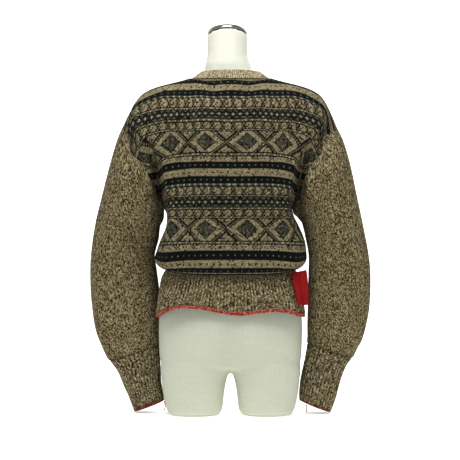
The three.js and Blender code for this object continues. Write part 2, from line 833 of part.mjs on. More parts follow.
/** A round dished button on the upper band at a place down the front. */
function button(place) {
  const lift = BAND_LIFT + RIB_RISE + BUTTON_THICKNESS / 2 + 0.5;
  const middle = (where) => {
    const [edge, inner] = bandEdges(where, -1);
    return edge.lerp(inner, 0.5);
  };
  const down = middle(place + 0.2).sub(middle(place - 0.2));
  const facing = new THREE.Vector3(0, down.z, -down.y).normalize();
  const half = BUTTON_THICKNESS / 2;
  const profile = [
    [0, -half],
    [BUTTON_RADIUS - 0.8, -half],
    [BUTTON_RADIUS, -half + 1],
    [BUTTON_RADIUS, half - 1],
    [BUTTON_RADIUS - 2, half],
    [BUTTON_RADIUS - 3.5, half - 0.7],
    [0, half - 0.7],
  ];
  const turned = new THREE.LatheGeometry(profile.map(([x, y]) => new THREE.Vector2(x, y)), 10);
  turned.applyQuaternion(new THREE.Quaternion().setFromUnitVectors(new THREE.Vector3(0, 1, 0), facing));
  const centre = middle(place).addScaledVector(facing, lift);
  turned.translate(centre.x, centre.y, centre.z);
  return turned;
}

// The folded tape in the wearer's right side seam, from its root under the blouson to its end.
const TAPE = table(
  "innerX innerY innerZ outerX outerY outerZ",
  [-139, 96, 332, -174, 82, 339],
  [-142, 101, 310, -177, 87, 314],
  [-148, 105, 285, -179, 91, 287],
  [-150, 107, 272, -179, 93, 272],
  [-150, 108, 260, -178, 95, 259],
);

/** A point of the tape: share 0 is its edge nearest to the middle and 1 the other. */
function onTape(row, share) {
  const inner = new THREE.Vector3(row.innerX, row.innerY, row.innerZ);
  const point = inner.lerp(new THREE.Vector3(row.outerX, row.outerY, row.outerZ), share);
  point.y += 2.5 * Math.abs(Math.sin(FULL_TURN * share));
  return point;
}

function tapeTab() {
  const columns = 8;
  const grid = TAPE.map((row) => [...Array(columns + 1).keys()].map((c) => onTape(row, c / columns)));
  const directions = outwards(grid, false, -1);
  return wall(grid, moved(grid, directions, -TAPE_THICKNESS), false);
}

/** A three-sided thread through points, with a small knot at its second point. */
function tail(points) {
  const route = new THREE.CatmullRomCurve3(points.map((p) => new THREE.Vector3(...p)));
  const steps = 6;
  const rings = [];
  for (let r = 0; r <= steps; r += 1) {
    const middle = route.getPoint(r / steps);
    const radius = TAIL_RADIUS * (r === 1 ? 1.7 : 1);
    rings.push(
      [0, 1, 2].map((corner) => {
        const turn = (FULL_TURN * corner) / 3;
        return middle.clone().add(new THREE.Vector3(Math.cos(turn) * radius, Math.sin(turn) * radius, 0));
      }),
    );
  }
  return rod(rings);
}

// ---------------------------------------------------------------- dress form

/** A power of a number that keeps its sign. */
function signedPower(value, power) {
  return Math.sign(value) * Math.abs(value) ** power;
}

/** A ring of a section with its own back and front depth. */
function sectionRing(row, middleX, half, roundness, count) {
  return [...Array(count).keys()].map((i) => {
    const turn = (FULL_TURN * (i + 0.5)) / count;
    const x = half * signedPower(Math.cos(turn), 2 / roundness);
    const away = signedPower(Math.sin(turn), 2 / roundness);
    return new THREE.Vector3(middleX + x, away > 0 ? away * row.back : -away * row.front, row.z);
  });
}

function torso() {
  const softness = 26;
  const rings = TORSO.map((row) =>
    sectionRing(row, row.middleX, row.half, row.roundness, 28).map((point) => {
      const valley = point.y > 0 ? row.cleft * Math.exp(-((point.x / softness) ** 2)) : 0;
      point.y -= valley;
      point.z += row.tilt * (point.y - NECK_CENTRE.y);
      return point;
    }),
  );
  return rod(rings);
}

function stump(side) {
  const roundness = 2.5;
  const rings = STUMP.map((row) => {
    const middleX = (side * (row.inner + row.outer)) / 2;
    return sectionRing(row, middleX, (row.outer - row.inner) / 2, roundness, 20);
  });
  return rod(rings);
}

function dressForm() {
  const left = toManifold(stump(1));
  const right = toManifold(stump(-1));
  return fromManifold(toManifold(torso()).add(left).add(right));
}

/** The low metal dome on the cut of the neck. */
function neckCap() {
  const profile = [
    [0, 0.4],
    [NECK_RADIUS, 0.4],
    [NECK_RADIUS + 0.5, 4],
    [NECK_RADIUS - 1.5, 8.5],
    [NECK_RADIUS - 7, 13],
    [NECK_RADIUS - 20, 15.5],
    [0, 16.5],
  ];
  const dome = new THREE.LatheGeometry(profile.map(([x, y]) => new THREE.Vector2(x, y)), 24);
  dome.rotateX(Math.PI / 2 + Math.atan(NECK_TILT));
  dome.translate(NECK_CENTRE.x, NECK_CENTRE.y, NECK_CENTRE.z);
  return dome;
}

// ---------------------------------------------------------------- pieces of the garment

add("dress_form", dressForm(), "linen");
add("neck_cap", neckCap(), "metal");
add("back", backPanel(), "fairIsle");
add("front_left", frontPanel(1), "fairIsle");
add("front_right", frontPanel(-1), "fairIsle");
add("sleeve_left", sleeve(SLEEVE_LEFT, 1), "marl");
add("sleeve_right", sleeve(SLEEVE_RIGHT, -1), "marl");
add("cuff_left", cuff(CUFF_LEFT, 1), "ribMarl");
add("cuff_right", cuff(CUFF_RIGHT, -1), "ribMarl");
add("cuff_edging_left", cuffEdging(CUFF_LEFT, 1), "redEdge");
add("cuff_edging_right", cuffEdging(CUFF_RIGHT, -1), "redEdge");

const backRibs = 2 * Math.round(BACK_HEM_WIDTH / RIB_PITCH / 2);
const frontRibs = 2 * Math.round(FRONT_HEM_WIDTH / RIB_PITCH / 2);
const opening = shareOf(RIB_FRONT[1], BAND_HALF, 1);
add("hem_back", hemPanel(RIB_BACK, HEMLINE_BACK, -1, 1, backRibs, SEAM / 2, 1, [0, -1]), "ribMarl");
for (const [name, side] of [["hem_front_left", 1], ["hem_front_right", -1]]) {
  const from = side * opening;
  add(name, hemPanel(RIB_FRONT, HEMLINE_FRONT, from, side, frontRibs, -SEAM / 2, -side, [-1]), "ribMarl");
}
add("hem_edging", hemEdging(opening + 0.02), "redEdge");
add("neck_band", neckBand(), "collarRib");
add("band_left", frontBand(1), "collarRib");
add("band_right", frontBand(-1), "collarRib");
for (let i = 0; i < BUTTON_COUNT; i += 1) {
  const place = FIRST_BUTTON + ((LAST_BUTTON - FIRST_BUTTON) * i) / (BUTTON_COUNT - 1);
  add(`button_${i + 1}`, button(place), "button");
}
add("tape_tab", tapeTab(), "redTape");
add("tail_left", tail([[156, -18, 26.6], [154.6, -18, 15], [155.6, -17, 4]]), "redEdge");
add("tail_right", tail([[-177, 19, 22.5], [-178, 19, 13], [-177, 18, 4]]), "redEdge");
add("tail_tab", tail([[-165, 98, 257], [-166, 99, 249], [-165.4, 98, 241]]), "redEdge");

// The middle of the whole from front to back and from side to side.
const MIDDLE = new THREE.Vector3(2.3, -10.8, 0);
garment.position.sub(MIDDLE);
export default garment;
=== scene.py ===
"""The looks of a fair isle cardigan with balloon sleeves, worn by a limbless dress form.

The frame gives each solid of the part. This script lays knitted cloth over the garment's solids, stitch
by stitch, from the same sections as the solids, and gives the form, its cap and the buttons their looks.
Sizes in the tables are millimetres, counted from the floor under the middle of the dress form.
"""
import math

import bpy
import numpy as np
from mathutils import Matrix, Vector


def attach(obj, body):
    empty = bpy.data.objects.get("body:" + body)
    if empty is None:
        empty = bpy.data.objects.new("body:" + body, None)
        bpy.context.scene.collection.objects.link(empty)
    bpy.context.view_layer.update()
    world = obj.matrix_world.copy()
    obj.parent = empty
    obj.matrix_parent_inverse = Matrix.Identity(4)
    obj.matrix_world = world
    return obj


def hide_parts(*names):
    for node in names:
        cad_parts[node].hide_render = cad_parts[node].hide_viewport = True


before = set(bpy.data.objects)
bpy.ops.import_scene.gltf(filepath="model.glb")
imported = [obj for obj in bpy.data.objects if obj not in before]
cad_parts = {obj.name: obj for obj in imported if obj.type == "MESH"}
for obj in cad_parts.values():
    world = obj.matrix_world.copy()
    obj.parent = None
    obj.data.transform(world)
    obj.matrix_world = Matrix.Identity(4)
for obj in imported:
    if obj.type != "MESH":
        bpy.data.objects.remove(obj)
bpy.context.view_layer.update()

# ---------------- sizes

MM = 0.001
MIDDLE = np.array([2.3, -10.8, 0.0])  # the frame's origin, counted from the middle of the form
FULL_TURN = 2 * math.pi
KNIT = 2.6  # thickness of the knitted cloth
SEAM = 0.3
UNDERARM = 9  # the row of the body tables at the bottom of the armhole

STITCH_WIDE = 4.0
QUARTERS = 4  # columns of the mesh in one stitch
LEG_RISE = 0.55  # how far the legs of a stitch stand up
LEG_SINK = 0.3  # how far the gaps between stitches lie below the cloth's surface
LEGS = np.array([0.0, 1.0, 0.35, 1.0])  # height of a stitch at its quarters: gap, leg, middle, leg
DIPS = np.array([0.0, 0.22, 0.45, 0.22])  # how far its lower edge runs into the next row
EDGE_FADE = 2.0  # columns over which the relief fades towards an edge
SEAM_FADE = 14.0  # columns over which the creases fade towards an edge
INNER_COLUMNS = 44  # columns of a panel's plain inner side
INNER_ROWS = 5  # stitch rows in one of its lines
SLEEVE_STITCHES = 112
SLEEVE_ROWS = 168
CREASE_START = 0.22  # the share of a sleeve's first stretch over which its creases begin

RIB_COLUMNS = 6  # columns of the mesh in one rib
RIB_RISE = 1.4
CUFF_RIBS = 36
HEM_RIBS_BACK, HEM_RIBS_FRONT = 66, 31
NECK_RIBS, BAND_RIBS = 44, 96
BAND_WIDTH = 30.0
BAND_HALF = 15.7  # from the centre line to the outer edge of a front band
BAND_LIFT = 4.8  # how far the upper front band lies over the lower one
BAND_LAP = 3.6  # how much further the upper band's edge reaches
LIFT_START, LIFT_END = 3.4, 4.6  # the stretch of rows over which it rises
HEM_EDGE_HEIGHT = 9.0
CUFF_EDGE_HEIGHT = 6.0
TAPE_THICKNESS = 1.0
TAIL_RADIUS = 1.3
FIRST_BUTTON, LAST_BUTTON, BUTTON_COUNT = 5.4, 18.0, 6  # rows of the front, and how many

NECK_CENTRE = np.array([7, 4, 887.5])
NECK_TILT = 0.236
NECK_RADIUS = 47.5


# ---------------- tables

def table(columns, *lines):
    """Rows with named columns, as one array for each column."""
    return {name: np.array(column) for name, column in zip(columns.split(), zip(*lines))}


# One row for each level of the cloth, from the shoulder seam down to the seam with the hem rib.
ACROSS = "midY midZ neckX neckY neckZ foldX foldY foldZ edgeX edgeY edgeZ foldLean edgeLean"

BACK = table(
    ACROSS,
    [72, 777, 96, -6, 783, 205, -8, 748, 254, -6, 668, 0, 2],
    [80, 767, 96, 26, 783, 206, 22, 746, 248, 18, 663, 0, 2],
    [90, 751, 93, 60, 768, 212, 48, 726, 236, 34, 656, 4, 4],
    [105, 711, 92, 101, 713, 217, 68, 682, 221, 46, 644, 10, 10],
    [114, 658, 90, 112, 658, 184, 93, 636, 219, 60, 608, 6, 10],
    [116, 606, 90, 114, 606, 149, 107, 594, 194, 70, 582, 4, 8],
    [117, 566, 90, 115, 566, 142, 107, 557, 178, 67, 549, 5, 7],
    [117, 534, 90, 115, 534, 139, 106, 528, 168, 52, 524, 5, 4],
    [116, 504, 90, 114, 503, 137, 103, 500, 160, 24, 493, 5, 3],
    [115, 488, 90, 113, 488, 137, 101, 486, 151, 0, 482, 5, 6],
    [114, 466, 88, 112, 466, 136, 99, 465, 148, 0, 462, 4, -1],
    [113, 440, 88, 111, 440, 137, 97, 441, 154, 0, 440, 4, -6],
    [116, 409, 92, 114, 409, 146, 98, 408, 169, 0, 406, 1, -5],
    [121, 381, 96, 119, 380, 153, 100, 376, 176, 0, 378, 0, -2],
    [124, 356, 96, 122, 355, 154, 102, 351, 178, 0, 361, 0, 0],
    [122, 338, 94, 120, 339, 149, 98, 340, 170, 0, 349, 0, 0],
    [112, 328, 88, 110, 329, 136, 90, 336, 151, 0, 339, 0, 0],
)

FRONT = table(
    ACROSS,
    [-60, 769, 96, -6, 783, 205, -8, 748, 254, -6, 668, 0, 2],
    [-78, 754, 95, -38, 775, 206, -38, 736, 249, -30, 658, 0, 2],
    [-92, 730, 93, -66, 756, 207, -60, 712, 238, -48, 641, 0, 2],
    [-106, 695, 93, -90, 712, 203, -74, 678, 224, -56, 621, 0, 3],
    [-120, 649, 92, -110, 656, 190, -86, 633, 210, -60, 594, 0, 4],
    [-133, 601, 90, -127, 606, 172, -94, 592, 195, -57, 568, 0, 6],
    [-137, 565, 88, -134, 566, 161, -98, 555, 181, -48, 541, 0, 7],
    [-136, 534, 88, -132, 534, 154, -98, 528, 171, -34, 516, 0, 5],
    [-131, 504, 88, -126, 503, 148, -93, 499, 161, -16, 493, 0, 3],
    [-127, 486, 88, -122, 486, 144, -89, 484, 151, 0, 482, 0, 6],
    [-122, 461, 86, -116, 461, 137, -85, 461, 148, 0, 462, 0, -1],
    [-119, 435, 88, -112, 435, 138, -84, 436, 154, 0, 440, 0, -6],
    [-122, 406, 92, -116, 406, 148, -88, 406, 169, 0, 406, 0, -5],
    [-126, 378, 96, -123, 378, 155, -93, 377, 176, 0, 378, 0, -2],
    [-127, 356, 97, -125, 356, 158, -94, 357, 178, 0, 361, 0, 0],
    [-126, 342, 95, -121, 341, 150, -91, 342, 170, 0, 349, 0, 0],
    [-123, 332, 88, -111, 332, 136, -82, 336, 151, 0, 339, 0, 0],
)

# The hem rib under the blouson. Its last row is bent to the hemline below.
RIB_BACK = table(
    ACROSS,
    [111, 327, 87, 109, 328, 135, 89, 334.6, 150, 0, 338, 0, 0],
    [113, 318, 90, 111, 318, 142, 93, 318, 161, 0, 318, 0, 0],
    [118, 285, 93, 115, 285, 148, 96, 285, 167, 0, 285, 0, 0],
    [124, 243, 96, 121, 243, 154, 99, 243, 174, 0, 243, 0, 0],
)

RIB_FRONT = table(
    ACROSS,
    [-122.5, 331, 87, -110, 331, 135, -81, 334.6, 150, 0, 338, 0, 0],
    [-121, 318, 90, -111, 318, 142, -84, 318, 161, 0, 318, 0, 0],
    [-119, 285, 93, -113, 285, 145, -86, 285, 167, 0, 285, 0, 0],
    [-121, 243, 96, -116, 243, 148, -86, 243, 174, 0, 243, 0, 0],
)

HEMLINE_BACK = table(
    "x z",
    [-174, 227], [-160, 233], [-127, 242], [-93, 244], [-46, 238], [-10, 236.5],
    [36, 244], [72, 251], [119, 251], [152, 241], [174, 225],
)

HEMLINE_FRONT = table(
    "x z",
    [-174, 227], [-120, 240], [-60, 236], [0, 240], [60, 237], [120, 241], [174, 225],
)

# Half the opening of the V neck, one entry for each row of the front down to its point.
V_NECK = table("x", [96], [91], [81], [60], [37], [BAND_HALF])

# Rings of the sleeves below the armhole, by their outer and inner points, down to the cuff seam.
RING = "outerX outerZ innerX innerZ middleY depth"

SLEEVE_LEFT = table(
    RING,
    [266, 640, 161, 472, 4, 66],
    [283, 583, 162, 460, 2, 70],
    [305, 500, 167, 430, -8, 71],
    [320, 440, 170, 408, -18, 70],
    [331, 372, 180, 370, -34, 68],
    [334, 322, 176, 336, -46, 66],
    [332, 263, 170, 283, -52, 64],
    [322, 194, 169.5, 222, -50, 61],
    [303, 146, 167.5, 180, -42, 57],
    [290, 122, 166, 160, -36, 53],
)

SLEEVE_RIGHT = table(
    RING,
    [264, 640, 151, 474, 4, 66],
    [281, 583, 163, 461, 2, 70],
    [299, 500, 171, 436, -2, 70],
    [314, 430, 177, 410, -5, 69],
    [326, 365, 184, 372, -8, 67],
    [329.5, 310, 184, 330, -10, 66],
    [326, 241, 183, 272, -10, 64],
    [312, 178, 181, 210, -9, 60],
    [298, 150, 181, 182, -9, 57],
    [290, 133, 180, 166, -8, 54],
)

CUFF_LEFT = table(
    RING,
    [285, 120, 169, 157, -36, 50],
    [266, 94, 168, 128, -33, 46],
    [249, 56, 166, 80, -27, 39],
    [240, 38, 163.5, 60, -23, 36],
    [226, 2, 157.5, 28, -18, 31],
)

CUFF_RIGHT = table(
    RING,
    [285, 130, 182, 162, -8, 51],
    [270, 108, 176, 128, -7, 46],
    [257, 74, 167, 86, -6, 40],
    [246, 34, 163, 54, -5, 34],
    [234, 2, 163, 30, -5, 31],
)

# How the neck band stands up from the neckline, from the shoulder to the middle of the back.
STAND = table(
    "inX backY upZ",
    [-27, 2, 16],
    [-15, -5, 18],
    [-7, -8, 20.5],
    [0, -12, 21.5],
)

# The dress form from the neck down. Roundness 2 is an ellipse and more is boxier.
TORSO = table(
    "z middleX half back front roundness tilt cleft",
    [886.4, 7, 47.5, 51.5, -43.5, 2, 0.236, 0],
    [862, 7, 47, 50, -42, 2, 0.17, 0],
    [836, 7, 48, 50, -43, 2, 0.1, 0],
    [815, 6, 54, 51, -45, 2, 0.04, 0],
    [802, 4, 57, 50, -46, 2, 0, 0],
    [788, 3, 66, 53, -48, 2, 0, 0],
    [772, 2, 86, 54, -50, 2, 0, 0],
    [752, 0, 135, 62, -54, 2, 0, 0],
    [728, 0, 172, 74, -62, 2.1, 0, 0],
    [695, 0, 184, 90, -78, 2.2, 0, 0],
    [645, 0, 176, 99, -98, 2.3, 0, 0],
    [600, 0, 162, 98, -116, 2.3, 0, 0],
    [562, 0, 154, 93, -127, 2.3, 0, 0],
    [520, 0, 143, 86, -118, 2.3, 0, 0],
    [480, 0, 131, 77, -100, 2.2, 0, 0],
    [440, 0, 122, 71, -91, 2.2, 0, 0],
    [405, 0, 119, 70, -88, 2.2, 0, 0],
    [370, 0, 128, 76, -92, 2.2, 0, 0],
    [335, 0, 140, 86, -97, 2.2, 0, 0],
    [295, 0, 156, 98, -102, 2.3, 0, 1],
    [250, 0, 165, 109, -104, 2.3, 0, 3],
    [205, 0, 168, 114, -101, 2.4, 0, 7],
    [160, 0, 167.5, 111, -95, 2.4, 0, 11],
    [136, 0, 166, 104, -89, 2.5, 0, 14],
    [120, 0, 163, 97, -83, 2.5, 0, 14],
    [111, 0, 158, 87, -74, 2.5, 0, 12],
    [107, 0, 149, 72, -60, 2.5, 0, 8],
)

STUMP = table(
    "z inner outer back front",
    [0, 29, 139, 62, -56],
    [4, 23, 146, 71, -64],
    [14, 18.5, 150.5, 78, -71],
    [48, 15, 158, 85, -76],
    [78, 9.5, 161.5, 90, -79],
    [96, 3.5, 163.5, 93, -81],
    [106, -3, 164, 93, -81],
    [122, -8, 162, 91, -79],
    [150, -14, 152, 80, -68],
)

# The folded tape in the wearer's right side seam, from its root under the blouson to its end.
TAPE = table(
    "innerX innerY innerZ outerX outerY outerZ",
    [-139, 96, 332, -174, 82, 339],
    [-142, 101, 310, -177, 87, 314],
    [-148, 105, 285, -179, 91, 287],
    [-150, 107, 272, -179, 93, 272],
    [-150, 108, 260, -178, 95, 259],
)

# ---------------- curves

ONWARD = 1.6  # how far a body row's curve aims past its edge
EDGE_DEPTH = 20.0  # an edge closer to the side seam than this turns towards the other panel
NECK_CORNER = (33.0, -144.0)  # where the shoulder seam's row aims, counted from its neck point
SEAM_DEPTH = 8.0  # rows with about this depth or less between neck and fold follow the shoulder seam


def smooth(before, start, end, after, t):
    """A smooth curve through four values, between the middle two."""
    leaving = (end - before) / 2
    arriving = (after - start) / 2
    bend = start - end
    curve = (2 * bend + leaving + arriving) * t - 3 * bend - 2 * leaving - arriving
    return curve * t * t + leaving * t + start


def between(knots, place):
    """Values at places between the rows of an array, on a smooth curve through the rows."""
    padded = np.concatenate([[2 * knots[0] - knots[1]], knots, [2 * knots[-1] - knots[-2]]])
    index = np.clip(np.floor(place).astype(int), 0, len(knots) - 2)
    t = (place - index).reshape(place.shape + (1,) * (knots.ndim - 1))
    return smooth(*(padded[index + i] for i in range(4)), t)


def row_at(rows, place):
    """Every column of a table at a place, or at an array of places, between its rows."""
    place = np.asarray(place, float)
    return {name: between(values, place) for name, values in rows.items()}


def last_of(rows):
    """The place of a table's last row."""
    return len(next(iter(rows.values()))) - 1


def rows_down(rows, steps, start=0, end=None):
    """A table at even places from one to another, with one line for each."""
    place = np.linspace(start, last_of(rows) if end is None else end, steps + 1)
    return {name: value[:, None] for name, value in row_at(rows, place).items()}


def height_at(line, x):
    """The height of a hemline at x."""
    index = np.clip(np.searchsorted(line["x"], x, side="right") - 1, 0, last_of(line) - 1)
    start, end = line["x"][index], line["x"][index + 1]
    return between(line["z"], index + np.clip((x - start) / (end - start), 0, 1))


def point(x, y, z):
    return np.stack(np.broadcast_arrays(x, y, z), axis=-1).astype(float)


def across(row, share):
    """Points of body rows at shares across: 0 is the centre line, 1 the left and -1 the right edge."""
    share = np.asarray(share, float)
    side = np.where(share < 0, -1.0, 1.0)
    middle = point(0 * share, row["midY"], row["midZ"])
    neck = point(side * row["neckX"], row["neckY"], row["neckZ"])
    fold = point(side * row["foldX"] + row["foldLean"], row["foldY"], row["foldZ"])
    edge = point(side * row["edgeX"] + row["edgeLean"], row["edgeY"], row["edgeZ"])
    seamed = np.clip(1 - np.abs(row["edgeY"]) / EDGE_DEPTH, 0, 1) + 0 * share
    onward = edge * ONWARD - fold * (ONWARD - 1)
    beyond = onward + (fold * [1, -1, 1] - onward) * seamed[..., None]
    depth = np.abs(row["neckY"] - row["foldY"])
    straight = (np.clip(1.5 - depth / SEAM_DEPTH, 0, 1) + 0 * share)[..., None]
    corner = neck + point(-side * NECK_CORNER[0], NECK_CORNER[1], 0)
    first = [neck * [-1, 1, 1], middle, neck, fold + (corner - fold) * straight]
    second = [middle + (2 * neck - fold - middle) * straight, neck, fold, edge]
    third = [neck, fold, edge, beyond]
    place = np.minimum(np.abs(share), 1) * 3
    index = np.minimum(np.floor(place), 2)
    t = (place - index)[..., None]
    found = [smooth(*four, t) for four in (first, second, third)]
    index = index[..., None]
    return np.where(index == 0, found[0], np.where(index == 1, found[1], found[2]))


def on_ring(row, angle, side):
    """The point of a ring at a turn from its outer point: a quarter turn is the back."""
    reach = np.cos(angle)
    return point(
        side * ((row["outerX"] + row["innerX"]) / 2 + reach * (row["outerX"] - row["innerX"]) / 2),
        row["middleY"] + np.sin(angle) * row["depth"],
        (row["outerZ"] + row["innerZ"]) / 2 + reach * (row["outerZ"] - row["innerZ"]) / 2,
    )


def lengths_along(points):
    """The length from the first point to each point of a line."""
    steps = np.linalg.norm(np.diff(points, axis=0), axis=1)
    return np.concatenate([[0.0], np.cumsum(steps)])


def points_at(line, lengths, wanted):
    """Points of a line at wanted lengths along it."""
    return np.stack([np.interp(wanted, lengths, line[:, axis]) for axis in range(3)], axis=-1)


def even_line(line, count):
    """The line again, at even steps of length."""
    lengths = lengths_along(line)
    return points_at(line, lengths, np.linspace(0, lengths[-1], count + 1))


def even_places(curve, start, end, count):
    """Places at even steps of length along a curve."""
    fine = np.linspace(start, end, 400)
    lengths = lengths_along(curve(fine))
    return np.interp(np.linspace(0, lengths[-1], count + 1), lengths, fine)


def ease(value, low, high):
    """0 below low, 1 above high, and smooth between them."""
    t = np.clip((value - low) / (high - low), 0, 1)
    return t * t * (3 - 2 * t)


def turns(count):
    """Even turns round a ring."""
    return FULL_TURN * np.arange(count) / count


# ---------------- surfaces from grids of points

CREASE_REACH, CREASE_RISE = 0.15, 0.2  # shares of a crease beyond and within its ends where it fades in


def outwards(grid, turn, closed=False):
    """The outward direction at each point of a grid, whose rows go down and columns go round."""
    if closed:
        along = np.roll(grid, -1, axis=1) - np.roll(grid, 1, axis=1)
    else:
        padded = np.concatenate([grid[:, :1], grid, grid[:, -1:]], axis=1)
        along = padded[:, 2:] - padded[:, :-2]
    padded = np.concatenate([grid[:1], grid, grid[-1:]])
    ways = np.cross(along, padded[2:] - padded[:-2]) * turn
    return ways / np.maximum(np.linalg.norm(ways, axis=2, keepdims=True), 1e-9)


def square(ways, rows, columns):
    """Turns the directions at a seam flat, so that its two sides meet squarely."""
    for column in columns:
        ways[rows, column, 1] = 0
        ways[rows, column] /= np.maximum(np.linalg.norm(ways[rows, column], axis=-1, keepdims=True), 1e-9)
    return ways


def creased(grid, ways, creases, inside=1.0):
    """Moves a grid along its directions by soft ridges and troughs laid from point to point.

    The share inside fades them out where a seam has to stay closed.
    """
    depth = np.zeros(grid.shape[:2])
    for *ends, width, rise in creases:
        start, end = np.array(ends, float).reshape(2, 3)
        line = end - start
        share = ((grid - start) @ line) / (line @ line)
        near = start + np.clip(share, 0, 1)[..., None] * line
        away = np.linalg.norm(grid - near, axis=2)
        begun, ended = (ease(part, -CREASE_REACH, CREASE_RISE) for part in (share, 1 - share))
        depth += rise * np.exp(-((away / width) ** 2)) * begun * ended
    return grid + ways * (depth * inside)[..., None]


def spots(rows, columns):
    """Stitch places of a grid's corners, from the places of its rows and columns."""
    return np.stack(np.meshgrid(columns, rows), axis=-1).astype(float)


def laced(first, second):
    """Triangles between two lines of vertex numbers, which may differ in length or repeat a number."""
    first, second = ([n for n, last in zip(line, [-1, *line]) if n != last] for line in (first, second))
    triangles = []
    i = j = 0
    while i < len(first) - 1 or j < len(second) - 1:
        ahead = (i + 1) / max(len(first) - 1, 1)
        beside = (j + 1) / max(len(second) - 1, 1)
        if j == len(second) - 1 or (i < len(first) - 1 and ahead <= beside):
            triangles.append((first[i], first[i + 1], second[j]))
            i += 1
        else:
            triangles.append((first[i], second[j + 1], second[j]))
            j += 1
    return triangles


class Cloth:
    """A closed surface of grids with stitch places and yarn colours, and the rims and caps between them."""

    def __init__(self):
        self.points, self.triangles, self.places, self.tints = [], [], [], []

    def add(self, triangles, tints, places=0.0):
        triangles = np.array(triangles)
        self.triangles.append(triangles)
        self.tints.append(np.broadcast_to(tints, triangles.shape))
        self.places.append(np.broadcast_to(places, triangles.shape + (2,)))

    def layer(self, grid, tints, places=0.0, numbers=None, closed=False, flip=False):
        """Adds a grid. numbers say which column's point stands for each place of the grid."""
        rows, columns = grid.shape[:2]
        if numbers is None:
            numbers = np.arange(columns)[None]
        own = sum(map(len, self.points)) + np.arange(rows)[:, None] * columns + numbers
        self.points.append(grid.reshape(-1, 3))
        if closed:
            own = np.concatenate([own, own[:, :1]], axis=1)
        tints = np.broadcast_to(tints, (rows - 1, own.shape[1] - 1, 3)).reshape(-1, 3)
        places = np.broadcast_to(places, own.shape + (2,))
        cut = lambda values: (values[:-1, :-1], values[:-1, 1:], values[1:, 1:], values[1:, :-1])
        for corners in ((2, 1, 0), (3, 2, 0)) if flip else ((0, 1, 2), (0, 2, 3)):
            triangles = np.stack([cut(own)[i] for i in corners], -1).reshape(-1, 3)
            spread = np.stack([cut(places)[i] for i in corners], -2).reshape(-1, 3, 2)
            kept = (triangles != np.roll(triangles, 1, axis=1)).all(axis=1)
            self.add(triangles[kept], tints[kept], spread[kept])
        return own

    def cap(self, ring, way, tint):
        """Closes the end of a tube with a flat fan."""
        self.add([(ring[0], ring[i + 1], ring[i])[::way] for i in range(1, len(ring) - 2)], tint)

    def build(self, name, material):
        """The Blender object, with its faces turned out, stitch places as its UV map and yarn colours."""
        points, triangles, places, tints = map(
            np.concatenate, (self.points, self.triangles, self.places, self.tints)
        )
        used, triangles = np.unique(triangles, return_inverse=True)
        points, triangles = points[used] - MIDDLE, triangles.reshape(-1, 3)
        a, b, c = (points[triangles[:, i]] for i in range(3))
        if np.einsum("ij,ij->i", a, np.cross(b, c)).sum() < 0:
            triangles, places = triangles[:, ::-1], places[:, ::-1]
        return mesh_object(name, points * MM, triangles, material, places, tints)


def walled(outer, inner, tints, inner_tint, places, closed=False, numbers=None, inner_rows=None):
    """Cloth with a fine outer grid and a plainer inner one, as a tube if closed and else rimmed all round."""
    cloth = Cloth()
    rows = np.arange(len(inner)) if inner_rows is None else inner_rows
    inner_places = spots(rows, np.arange(inner.shape[1] + closed))
    outside = cloth.layer(outer, tints, places, numbers, closed)
    inside = cloth.layer(inner, inner_tint, inner_places, closed=closed, flip=True)
    rims = [(inside[0], outside[0]), (outside[-1], inside[-1])]
    if not closed:
        rims += [(outside[:, 0], inside[:, 0]), (inside[:, -1], outside[:, -1])]
    for first, second in rims:
        cloth.add(laced(first, second), inner_tint)
    return cloth


def mesh_object(name, points, triangles, material, places=None, tints=None):
    """A mesh object from points in metres and triangles, with optional UVs and face colours."""
    mesh = bpy.data.meshes.new(name)

    def fill(target, key, values, kind=np.float32):
        target.foreach_set(key, np.ascontiguousarray(values, kind).ravel())

    mesh.vertices.add(len(points))
    fill(mesh.vertices, "co", points)
    mesh.loops.add(triangles.size)
    fill(mesh.loops, "vertex_index", triangles, np.int32)
    mesh.polygons.add(len(triangles))
    fill(mesh.polygons, "loop_start", np.arange(0, triangles.size, 3), np.int32)
    fill(mesh.polygons, "use_smooth", np.ones(len(triangles)), bool)
    mesh.update(calc_edges=True)
    if places is not None:
        fill(mesh.uv_layers.new(name="stitches").data, "uv", places)
        colours = mesh.color_attributes.new(name="yarn", type="FLOAT_COLOR", domain="CORNER")
        opaque = np.concatenate([tints, np.ones((len(tints), 1))], axis=1)
        fill(colours.data, "color", np.repeat(opaque, 3, axis=0))
    mesh.materials.append(material)
    mesh.validate()
    obj = bpy.data.objects.new(name, mesh)
    bpy.context.scene.collection.objects.link(obj)
    return obj


# ---------------- yarn colours


def linear(red, green, blue):
    """A colour for the shader from the usual 0 to 255 values."""
    value = np.array([red, green, blue], float) / 255
    return np.where(value <= 0.04045, value / 12.92, ((value + 0.055) / 1.055) ** 2.4)


YARN = {
    "K": linear(15, 17, 14),  # near black
    "H": linear(58, 57, 46),  # dark grey
    "D": linear(84, 88, 82),  # the pale dots in the dark bands
    "G": linear(88, 85, 68),  # grey
    "L": linear(154, 146, 120),  # light
    "T": linear(132, 121, 92),  # tan
    "M": linear(96, 88, 65),  # brownish heather
    "B": linear(52, 39, 24),  # brown
}

# Fair isle bands as charts of one repeat each. The first line is the top one.
CHARTS = {
    "dark": ["KKKK", "KKKK", "KDKK", "KKKK", "KKKK"],
    "tan": ["TTTT", "TTTT", "TBTT", "TTTT", "TTTT"],
    "lines": ["KKHK", "MMGL", "KHKK"],
    "dots": ["GLGH", "KHKK", "LGHG"],
    "steps": ["TTTKMK", "TBTMKM", "TTBMKM", "TTTKMK"],
    "checks": ["TTTTTTTTKTKT", "TTTKTKTTTKTK", "TTTTTTTTKTKT", "TTTTTTTTTTTT"],
    "lattice": ["GHKH", "HKKK", "KKGK", "KGLG", "KKGK", "HKKK", "GHKH"],
    # painted highlight: one row of light yarn along the blouson's lower edge
    "light": ["LLLG"],
}

